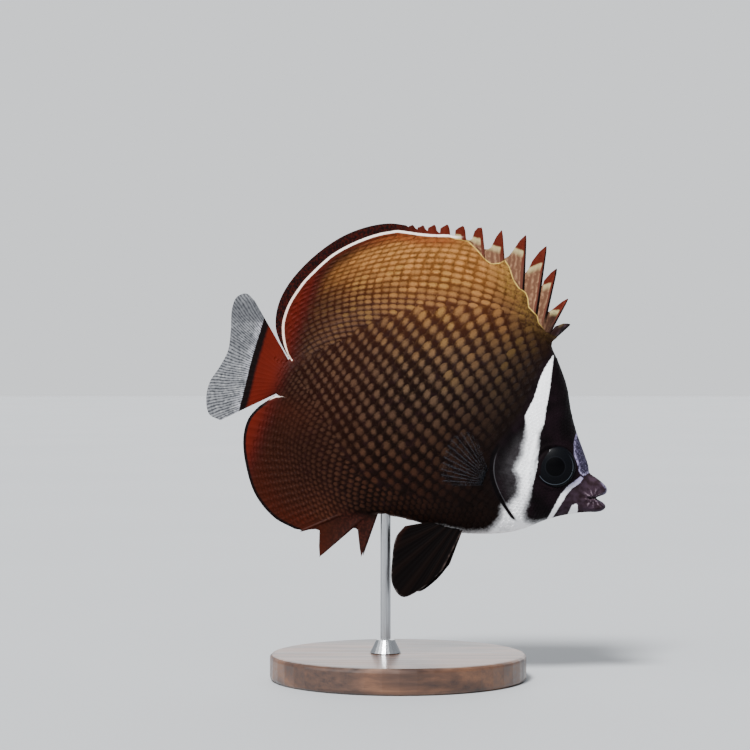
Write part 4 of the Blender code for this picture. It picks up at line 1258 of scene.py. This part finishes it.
def scale_piece(name, lie, stagger, wanted, spot, tree, seed):
    """One field of scales on both flanks, as one mesh of overlapping domed plates."""
    rng = np.random.default_rng(seed)
    roots, back, side = scale_lattice(lie, stagger, wanted)
    keep = wanted(roots, marks(roots))
    keep &= (np.linalg.norm(back, axis=1) < 6) & (np.linalg.norm(side, axis=1) < 8)
    roots, back, side = roots[keep], back[keep], side[keep]
    count = len(roots)
    coat = settings("coat")
    g, v = [x.ravel() for x in np.meshgrid(ALONG_SHARES, ACROSS_SHARES, indexing="ij")]
    last = np.arange(len(g)) >= len(g) - len(ACROSS_SHARES)
    edge = SCALE_EDGE - EDGE_ROUND * abs(v) ** 2.6
    a = SCALE_ROOT + (edge - SCALE_ROOT) * g
    b = SCALE_HALF * v * (0.78 + 0.22 * g)
    length = np.linalg.norm(back, axis=1)
    turn = rng.normal(0, 0.035, count)
    grow = 1 + rng.normal(0, 0.03, count)
    aa = (a[None] - 0.1) * grow[:, None] + 0.1
    bb = b[None] * grow[:, None] + turn[:, None] * a[None]
    places = roots[:, None] + back[:, None] * aa[..., None] + side[:, None] * bb[..., None]
    dome = g**1.15 * (1 - 0.62 * v * v) + 0.1 * (1 - v * v)
    tilt = 1 + rng.normal(0, 0.12, count)[:, None] + rng.normal(0, 0.1, count)[:, None] * v
    lift = coat.lift * length[:, None] * dome * tilt
    lift = np.where(last, -0.1, lift) - np.where(g == 0, 0.14, 0) - 0.03 * v**4
    hits, normals = cast_on(tree, places.reshape(-1, 2))
    points = hits + normals * lift.reshape(-1, 1)
    one = quads(np.arange(len(g)).reshape(len(ALONG_SHARES), -1))
    every = (one[None] + (np.arange(count) * len(g))[:, None, None]).reshape(-1, 4)
    faces = np.concatenate([every[:, ::-1], every + len(points)])
    obj = new_mesh(name, np.concatenate([points, points * (1, -1, 1)]), faces.tolist())
    values = marks(points[:, (0, 2)])
    wide, tall, power = spot
    middle = 0.16 + rng.normal(0, 0.05, count)[:, None]
    swell = 1 + rng.normal(0, 0.1, count)[:, None]
    across = (v[None] + rng.normal(0, 0.08, count)[:, None]) / wide / swell
    lengthwise = (a[None] - middle) / tall / swell
    far = abs(across) ** power + abs(lengthwise) ** power
    if power < 2.5:
        far -= 0.5 * across * lengthwise
    values["spot"] = (np.maximum(far, 0) ** (1 / power)).ravel()
    # 0 at a scale's root and 1 at its free edge, for each scale's painted shade and highlight
    values["lit_edge"] = np.tile(np.clip(a + 0.4, 0, 1), count)
    values["scale_id"] = np.repeat(rng.random(count), len(g))
    values["drop"] = np.full(len(points), NO_DROP)
    store(obj, {key: np.tile(value, 2) for key, value in values.items()})
    bake_map(obj.data, roots, points_of(g - 0.5, v * 0.5), faces)
    obj.data.shade_smooth()
    obj.data.set_sharp_from_angle(angle=math.radians(50))
    return obj


def bake_map(mesh, roots, patch, faces):
    """The OFBake map: a small patch for each scale at its root's place on the rolled-out skin."""
    flat = unrolled(roots)
    u = 0.02 + 0.46 * (flat[:, 0] + 4) / BAKE_LENGTH
    v = 0.5 + 0.47 * flat[:, 1] / BAKE_HEIGHT
    one = points_of(u, v)[:, None] + settings("coat").patch * patch[None]
    both = np.concatenate([one.reshape(-1, 2), (one + (0.5, 0)).reshape(-1, 2)])
    layer = mesh.uv_layers.new(name="OFBake")
    layer.data.foreach_set("uv", both[np.asarray(faces).ravel()].astype(np.float32).ravel())


def eye_piece(name, side):
    """A glossy, flattened ball with a raised middle, sunk in the head."""
    bpy.ops.object.select_all(action="DESELECT")
    bpy.ops.mesh.primitive_uv_sphere_add(segments=72, ring_count=40, radius=1)
    obj = bpy.context.active_object
    obj.name = obj.data.name = name
    points = np.array([v.co for v in obj.data.vertices])
    outward_, across, upward = points[:, 2], points[:, 0], points[:, 1]
    radius = np.hypot(across, upward) * EYE_RADIUS
    depth = outward_ * EYE_HALF_DEPTH + np.sign(outward_) * 0.35 * bell(radius, 3.6)
    surface = float(flank(*EYE_AT)) - EYE_SUNK
    placed = points_of(
        EYE_AT[0] + across * EYE_RADIUS, side * (surface + depth), EYE_AT[1] + upward * EYE_RADIUS
    )
    obj.data.vertices.foreach_set("co", to_world(placed).ravel())
    store(obj, {"radius": radius, "turn": np.arctan2(upward, across)})
    outward(obj, 60)
    return obj


def paired_fin(name, start, margin, middle_of, rays, root_gain, thin):
    """A fin of fanned rays between two lines, with its middle plane as a function of reach."""
    v = np.linspace(0, 1, PAIRED_ROWS)
    places, out, left = fan(start, margin, v)
    phase = np.linspace(0, rays - 1, len(start))[:, None] + 0 * out
    half = thin + root_gain * np.exp(-out / ROOT_FADE) + 0.13 * ray_ridge(phase) * (1 - 0.5 * v)
    half *= 0.4 + 0.6 * ease(left, (0, 2))
    values = {"out": out, "phase": phase, "reach": v + 0 * out, "edge": left}
    values = {key: value.ravel() for key, value in values.items()}
    faces = quads(np.arange(out.size).reshape(out.shape)).tolist()
    middle = middle_of(out).ravel()
    return close_sheet(name, places.reshape(-1, 2), middle, half.ravel(), faces, values)


def pectoral_piece(name, side):
    station, height = PECTORAL_ROOT
    count = 6 * (PECTORAL_RAYS - 1) + 1
    heights = height + np.linspace(0.5, -0.5, count) * PECTORAL_ROOT_HEIGHT
    start = points_of(station, heights)
    angles, lengths = np.array(PECTORAL_REACH, float).T
    angles = np.radians(angles)
    reach = points_of(station + lengths * np.cos(angles), height + lengths * np.sin(angles))
    margin = along(smooth_path(reach), np.linspace(0, 1, count))
    surface = flank(start[:, 0], start[:, 1])[:, None] - PECTORAL_SINK

    def middle(out):
        rise = PECTORAL_RISE * (1 - np.exp(-out / PECTORAL_RISE_OVER)) + PECTORAL_SPREAD * out
        return side * (surface + rise)

    return paired_fin(name, start, margin, middle, PECTORAL_RAYS, 0.2, 0.09)


def pelvic_piece(name, side):
    count = 8 * (PELVIC_RAYS - 1) + 1
    root = np.array(PELVIC_ROOT)
    start = root[0] + np.linspace(0, 1, count)[:, None] * (root[1] - root[0])
    margin = along(smooth_path(PELVIC_MARGIN), np.linspace(0, 1, count))
    x, z = ((margin - root[0]) * PELVIC_REACH[side]).T
    c, s = math.cos(PELVIC_SWING[side]), math.sin(PELVIC_SWING[side])
    margin = root[0] + points_of(x * c + z * s, z * c - x * s)
    start = start + (0, 2)

    def middle(out):
        return side * (PELVIC_APART + PELVIC_SPLAY[side] * out)

    return paired_fin(name, start, margin, middle, PELVIC_RAYS, 0.4, 0.16)


def eye_material():
    eye = settings("eye")
    n = Shader(
        "wet eye", Roughness=0.4, Specular_IOR_Level=0.03, Coat_Weight=0.02, Coat_Roughness=0.03
    )
    radius = n.read("radius")
    iris = n.mix(n.noise(0.5, 3), eye.iris, "0a0b0e")
    colour = n.mix(n.smooth(radius, 3.9, 3.5), iris, eye.pupil)
    colour = n.mix(n.bell(radius - 3.9, 0.25) * 0.3, colour, "1a1c20")
    arc = n.smooth(n.math("COSINE", n.read("turn") + 2.2), -0.6, 0.8)
    n.set("Base Color", n.mix(n.bell(radius - 6.95, 0.18) * arc * 0.7, colour, eye.ring))
    n.bump(n.noise(0.4), 0.02, 0.3)
    return n.material


def pectoral_material():
    fins = settings("fins")
    n = Shader("clear fin", Roughness=0.3, Specular_IOR_Level=0.1)
    ray = n.math("COSINE", n.read("phase") * math.tau)
    ray = n.smooth(ray + (n.noise(2.5) - 0.5) * 0.3, 0.45, 0.98)
    n.set("Base Color", n.mix(ray, fins.clear, fins.clear_ray))
    cover = ray * n.smooth(n.read("reach"), 1.05, 0.5, 0.45, 1) * 0.46 + 0.08
    root = n.smooth(n.read("out"), 4, 0.5) * 0.8
    n.set("Alpha", n.math("MAXIMUM", cover, root, clamp=True))
    return n.material


def pelvic_material():
    n = Shader("black fin", Roughness=0.6, Specular_IOR_Level=0.03)
    phase, edge = n.read("phase"), n.read("edge")
    ray = n.math("COSINE", phase * math.tau)
    colour = n.mix(n.smooth(ray, 0, 1), settings("fins").black, "0a0504")
    rear = n.smooth(phase, 3.6, 5) * n.smooth(edge, 4, 0.5) * 0.7
    colour = n.mix(rear, colour, "1e0b06")
    front = n.smooth(phase, 0.3, 0.1) * n.smooth(n.noise(2, 3), 0.3, 0.8) * 0.4
    colour = n.mix(front, colour, "5a4c47")
    tip = n.smooth(edge, 0.9, 0.2) * n.smooth(n.noise(1.5), 0.4, 0.8) * 0.5
    n.set("Base Color", n.mix(tip, colour, "7a716e"))
    ripples = n.math("COSINE", phase * (PELVIC_RIPPLES * math.tau))
    n.bump(ripples * 0.5 + n.noise(0.6, 3), 0.05, 0.7)
    return n.material


def wood_material():
    stand = settings("stand")
    n = Shader("stained wood", Specular_IOR_Level=0.5, Coat_Weight=0.35, Coat_Roughness=0.22)
    wander = n.noise(60, 3, stretch=(0.25, 1, 1))
    fibre = n.noise(1.6, 4, stretch=(0.03, 1, 1), roughness=0.65)
    grain = n.math("SINE", wander * 70) * 0.16 + (fibre * 0.7 + 0.12)
    stops = ((0.2, stand.wood_dark), (0.5, stand.wood), (0.8, stand.wood_light))
    n.set("Base Color", n.ramp(grain, stops))
    n.set("Roughness", n.smooth(fibre, 0.3, 0.7, 0.32, 0.5))
    n.bump(fibre, 0.08, 0.5)
    return n.material


def steel_material():
    n = Shader("brushed steel", Metallic=1)
    lines = n.noise(0.35, 3, stretch=(1, 1, 0.02))
    n.set("Base Color", n.mix(lines, settings("stand").steel, "8d8f92"))
    n.set("Roughness", n.smooth(lines, 0.25, 0.75, 0.22, 0.4))
    n.bump(lines, 0.02, 0.5)
    return n.material


def floor_material():
    n = Shader("pale floor", Roughness=0.75)
    n.set("Base Color", n.mix(n.noise(400), settings("stage").floor, "a4a6a8"))
    return n.material


def length(name, note, value, **more):
    """A size property in metres from millimetres."""
    return bpy.props.FloatProperty(
        name=name, description=note, default=value * MM, unit="LENGTH", min=0, precision=5, **more
    )


def colour(name, note, code):
    return bpy.props.FloatVectorProperty(
        name=name, description=note, default=shade(code), subtype="COLOR", size=3, min=0, max=1
    )


class FISH_PG_palette(bpy.types.PropertyGroup):
    """Colours that the skin and the scales share"""

    head: colour("Head", "The dark bands of the head", "060304")
    snout: colour("Snout", "Mauve brown of the snout", "332630")
    lips: colour("Lips", "Pale wrinkles of the lips", "8d7b86")
    white: colour("White bands", "The white bands of the head", "f8f8fa")
    lilac: colour("Lilac", "Lilac edges over the snout", "948cad")
    brow: colour("Brow", "The lilac patch over the snout", "302c40")
    gold: colour("Gold", "Gold of the brightest scales", "866f2f")
    rust: colour("Dorsal rust", "Red brown near the dorsal fin's edge", "3c180c")
    anal_rust: colour("Anal rust", "Rust near the anal fin's edge", "3e1206")
    tail_red: colour("Tail red", "Red of the tail fin's base", "4a0f05")
    tail_grey: colour("Tail streaks", "Grey between the streaks of the tail fin", "2b2d31")
    tail_pale: colour("Tail pale", "Pale rear part of the tail fin", "7a7b7e")
    spine_red: colour("Spine tips", "Red tips behind the dorsal spines", "4d190e")
    cream: colour("Cream", "Cream below the red tips", "a89c70")
    membrane: colour("Membrane", "Bare membrane between the dorsal spines", "826149")
    sheath: colour("Sheath edge", "Yellow edge of the scaled sheath", "c2a455")
    line_white: colour("White line", "The line inside the dorsal fin's edge", "efe0d4")
    margin_black: colour("Black edge", "Black of the fins' edges", "090303")


class FISH_PG_coat(bpy.types.PropertyGroup):
    """Sizes of the scales"""

    depth: length("Depth", "How far the skin lies inside the solid fish", 0.2)
    lift: bpy.props.FloatProperty(
        name="Lift", description="Height of a scale's free edge as a share of its length",
        default=0.15, min=0, max=0.3,
    )
    patch: bpy.props.FloatProperty(
        name="Bake patch", description="Width of a scale's patch in the bake map",
        default=0.003, min=0, max=0.01, precision=4,
    )


class FISH_PG_eye(bpy.types.PropertyGroup):
    """Colours of the eyes"""

    pupil: colour("Pupil", "The pupil", "020203")
    iris: colour("Iris", "The dark ring around the pupil", "040507")
    ring: colour("Ring", "The faint bright ring at the eye's edge", "5d656e")


class FISH_PG_fins(bpy.types.PropertyGroup):
    """Colours of the paired fins"""

    clear: colour("Clear membrane", "Membrane of the pectoral fins", "101115")
    clear_ray: colour("Pale ray", "Rays of the pectoral fins", "2f3035")
    black: colour("Black fin", "Membrane of the pelvic fins", "050303")


class FISH_PG_stand(bpy.types.PropertyGroup):
    """Colours of the display stand"""

    wood: colour("Wood", "Middle tone of the wood", "4a2f1f")
    wood_dark: colour("Dark grain", "Dark grain of the wood", "28170f")
    wood_light: colour("Light grain", "Light grain of the wood", "6a472f")
    steel: colour("Steel", "Rod and collar", "c3c5c8")


class FISH_PG_stage(bpy.types.PropertyGroup):
    """Floor, lights and camera"""

    floor: colour("Floor", "The pale floor", "9b9ea1")
    glow: bpy.props.FloatProperty(
        name="Backdrop strength", description="Brightness of the backdrop", default=1.37, min=0
    )
    backdrop: colour("Backdrop", "What the camera sees behind the fish", "dfe2e5")
    key: bpy.props.FloatProperty(
        name="Key light", description="Strength of the main light", default=8.5, min=0
    )
    fill: bpy.props.FloatProperty(
        name="Fill light", description="Strength of the soft lights", default=1.2, min=0
    )
    sky: bpy.props.FloatProperty(
        name="Sky", description="Strength of the even light around", default=0.6, min=0
    )
    distance: length("Camera distance", "From the camera to the fish", 900)
    focal: bpy.props.FloatProperty(
        name="Focal length", description="Focal length on a 36 mm frame", default=110.8, min=1
    )


GROUPS = {
    "palette": FISH_PG_palette, "coat": FISH_PG_coat, "eye": FISH_PG_eye, "fins": FISH_PG_fins,
    "stand": FISH_PG_stand, "stage": FISH_PG_stage,
}


def settings(name):
    return getattr(bpy.context.scene, f"butterflyfish_{name}")


FLESH = (
    "torso", "tail_stalk", "head", "upper_jaw", "lower_jaw", "dorsal_fin_spines",
    "dorsal_fin_soft", "anal_fin_spines", "anal_fin_soft", "caudal_fin",
)


def finish_piece(obj, material, slot, *nodes):
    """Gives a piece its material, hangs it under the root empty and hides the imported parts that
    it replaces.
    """
    obj.data.materials.clear()
    obj.data.materials.append(material)
    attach(obj, "root")
    if nodes:
        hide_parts(*nodes)


class FISH_OT_skin(bpy.types.Operator):
    """Builds the one skin of the body and the fins along its middle"""

    bl_idname = "butterflyfish.skin"
    bl_label = "Skin"

    def execute(self, context):
        sheet = skin_sheet()
        places, half = np.array(sheet.places), np.array(sheet.half)
        names = ("out", "phase", "spine", "side", "spine_rear", "drop")
        values = marks(places) | dict(zip(names, np.array(sheet.rays).T))
        obj = close_sheet("fish_skin", places, 0 * half, half, sheet.faces, values, 55)
        finish_piece(obj, skin_material(), "scaled_brown", *FLESH)
        return {"FINISHED"}


class FISH_OT_scales(bpy.types.Operator):
    """Covers the skin with overlapping scales"""

    bl_idname = "butterflyfish.scales"
    bl_label = "Scales"

    def execute(self, context):
        sheet = skin_sheet()
        places = np.array(sheet.places)
        points = points_of(places[:, 0], RIGHT * np.array(sheet.half), places[:, 1])
        tree = BVHTree.FromPolygons(points.tolist(), sheet.faces)
        material = scale_material()
        fields = (
            ("fish_scales_body", BODY_PATTERN, False, on_body, (0.6, 0.46, 2.1), "scaled_brown"),
            ("fish_scales_dorsal", DORSAL_PATTERN, False, on_dorsal, (0.95, 0.43, 2.6), "fin_rust"),
            ("fish_scales_anal", ANAL_LIE, True, on_anal, (0.8, 0.44, 2.2), "fin_rust"),
            ("fish_scales_head", HEAD_LIE, True, on_head, (0.9, 0.44, 2), "head_black"),
        )
        for seed, (name, lie, stagger, wanted, spot, slot) in enumerate(fields):
            obj = scale_piece(name, lie, stagger, wanted, spot, tree, seed)
            finish_piece(obj, material, slot)
        return {"FINISHED"}


class FISH_OT_eyes(bpy.types.Operator):
    """Builds the two eyes"""

    bl_idname = "butterflyfish.eyes"
    bl_label = "Eyes"

    def execute(self, context):
        material = eye_material()
        for side, label in ((RIGHT, "right"), (LEFT, "left")):
            obj = eye_piece(f"fish_eye_{label}", side)
            finish_piece(obj, material, "eye_dark", f"eye_{label}")
        return {"FINISHED"}


class FISH_OT_paired_fins(bpy.types.Operator):
    """Builds the pectoral and pelvic fins"""

    bl_idname = "butterflyfish.paired_fins"
    bl_label = "Paired fins"

    def execute(self, context):
        clear, black = pectoral_material(), pelvic_material()
        for side, label in ((RIGHT, "right"), (LEFT, "left")):
            obj = pectoral_piece(f"fish_pectoral_{label}", side)
            finish_piece(obj, clear, "pectoral_grey", f"pectoral_fin_{label}")
            obj = pelvic_piece(f"fish_pelvic_{label}", side)
            finish_piece(obj, black, "pelvic_black", f"pelvic_fin_{label}")
        return {"FINISHED"}


class FISH_OT_stand(bpy.types.Operator):
    """Finishes the stand's wood and steel"""

    bl_idname = "butterflyfish.stand"
    bl_label = "Stand"

    def execute(self, context):
        wood, steel = wood_material(), steel_material()
        for name, material in (
            ("stand_base", wood), ("stand_collar", steel), ("stand_rod", steel)
        ):
            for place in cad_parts[name].material_slots:
                place.material = material
        return {"FINISHED"}


class FISH_OT_stage(bpy.types.Operator):
    """Adds the floor, the lights and the camera"""

    bl_idname = "butterflyfish.stage"
    bl_label = "Stage"

    def execute(self, context):
        stage = settings("stage")
        bpy.ops.object.select_all(action="DESELECT")
        bpy.ops.mesh.primitive_circle_add(vertices=96, radius=12, fill_type="NGON")
        floor = context.active_object
        floor.name = "floor"
        floor.data.materials.append(floor_material())
        for name, power, spread, place in (
            ("key", stage.key, 14, (-0.3, -0.7, 0.95)),
            ("fill", stage.fill, 60, (-0.9, -0.5, 0.25)),
            ("back", stage.fill, 60, (0.1, 0.9, 0.6)),
        ):
            bpy.ops.object.light_add(type="SUN", location=place)
            light = context.active_object
            light.name = name
            light.data.energy = power
            light.data.angle = math.radians(spread)
            light.rotation_euler = (-Vector(place)).to_track_quat("-Z", "Y").to_euler()
        world = bpy.data.worlds.new("studio")
        context.scene.world = world
        world.use_nodes = True
        tree = world.node_tree
        around = tree.nodes["Background"]
        around.inputs["Color"].default_value = (0.9, 0.94, 1, 1)
        around.inputs["Strength"].default_value = stage.sky
        behind = tree.nodes.new("ShaderNodeBackground")
        behind.inputs["Color"].default_value = (*stage.backdrop, 1)
        rays = tree.nodes.new("ShaderNodeLightPath")
        both = tree.nodes.new("ShaderNodeMixShader")
        tree.links.new(rays.outputs["Is Camera Ray"], both.inputs[0])
        behind.inputs["Strength"].default_value = stage.glow
        tree.links.new(around.outputs[0], both.inputs[1])
        tree.links.new(behind.outputs[0], both.inputs[2])
        tree.links.new(both.outputs[0], tree.nodes["World Output"].inputs["Surface"])
        bpy.ops.object.camera_add(
            location=(-0.009, -stage.distance, 0.1184), rotation=Euler((math.pi / 2, 0, 0))
        )
        camera = context.active_object
        camera.data.lens = stage.focal
        camera.data.clip_start = 0.01
        context.scene.camera = camera
        return {"FINISHED"}


OPERATORS = (
    FISH_OT_skin, FISH_OT_scales, FISH_OT_eyes, FISH_OT_paired_fins, FISH_OT_stand, FISH_OT_stage,
)


class FISH_PT_panel(bpy.types.Panel):
    """Lists the steps that build the fish"""

    bl_label = "Butterflyfish"
    bl_idname = "FISH_PT_panel"
    bl_space_type = "VIEW_3D"
    bl_region_type = "UI"
    bl_category = "Butterflyfish"

    def draw(self, context):
        for operator in OPERATORS:
            self.layout.operator(operator.bl_idname)
        for name, group in GROUPS.items():
            box = self.layout.box()
            box.label(text=name.capitalize())
            for key in group.__annotations__:
                box.prop(settings(name), key)


def register():
    for cls in (*GROUPS.values(), *OPERATORS, FISH_PT_panel):
        bpy.utils.register_class(cls)
    for name, group in GROUPS.items():
        setattr(bpy.types.Scene, f"butterflyfish_{name}", bpy.props.PointerProperty(type=group))


def unregister():
    for name in GROUPS:
        delattr(bpy.types.Scene, f"butterflyfish_{name}")
    for cls in (FISH_PT_panel, *reversed(OPERATORS), *reversed(GROUPS.values())):
        bpy.utils.unregister_class(cls)


def main():
    register()
    bpy.ops.object.select_all(action="DESELECT")
    bpy.ops.butterflyfish.skin()
    bpy.ops.butterflyfish.scales()
    bpy.ops.butterflyfish.eyes()
    bpy.ops.butterflyfish.paired_fins()
    bpy.ops.butterflyfish.stand()
    bpy.ops.butterflyfish.stage()


if __name__ == "__main__":
    main()
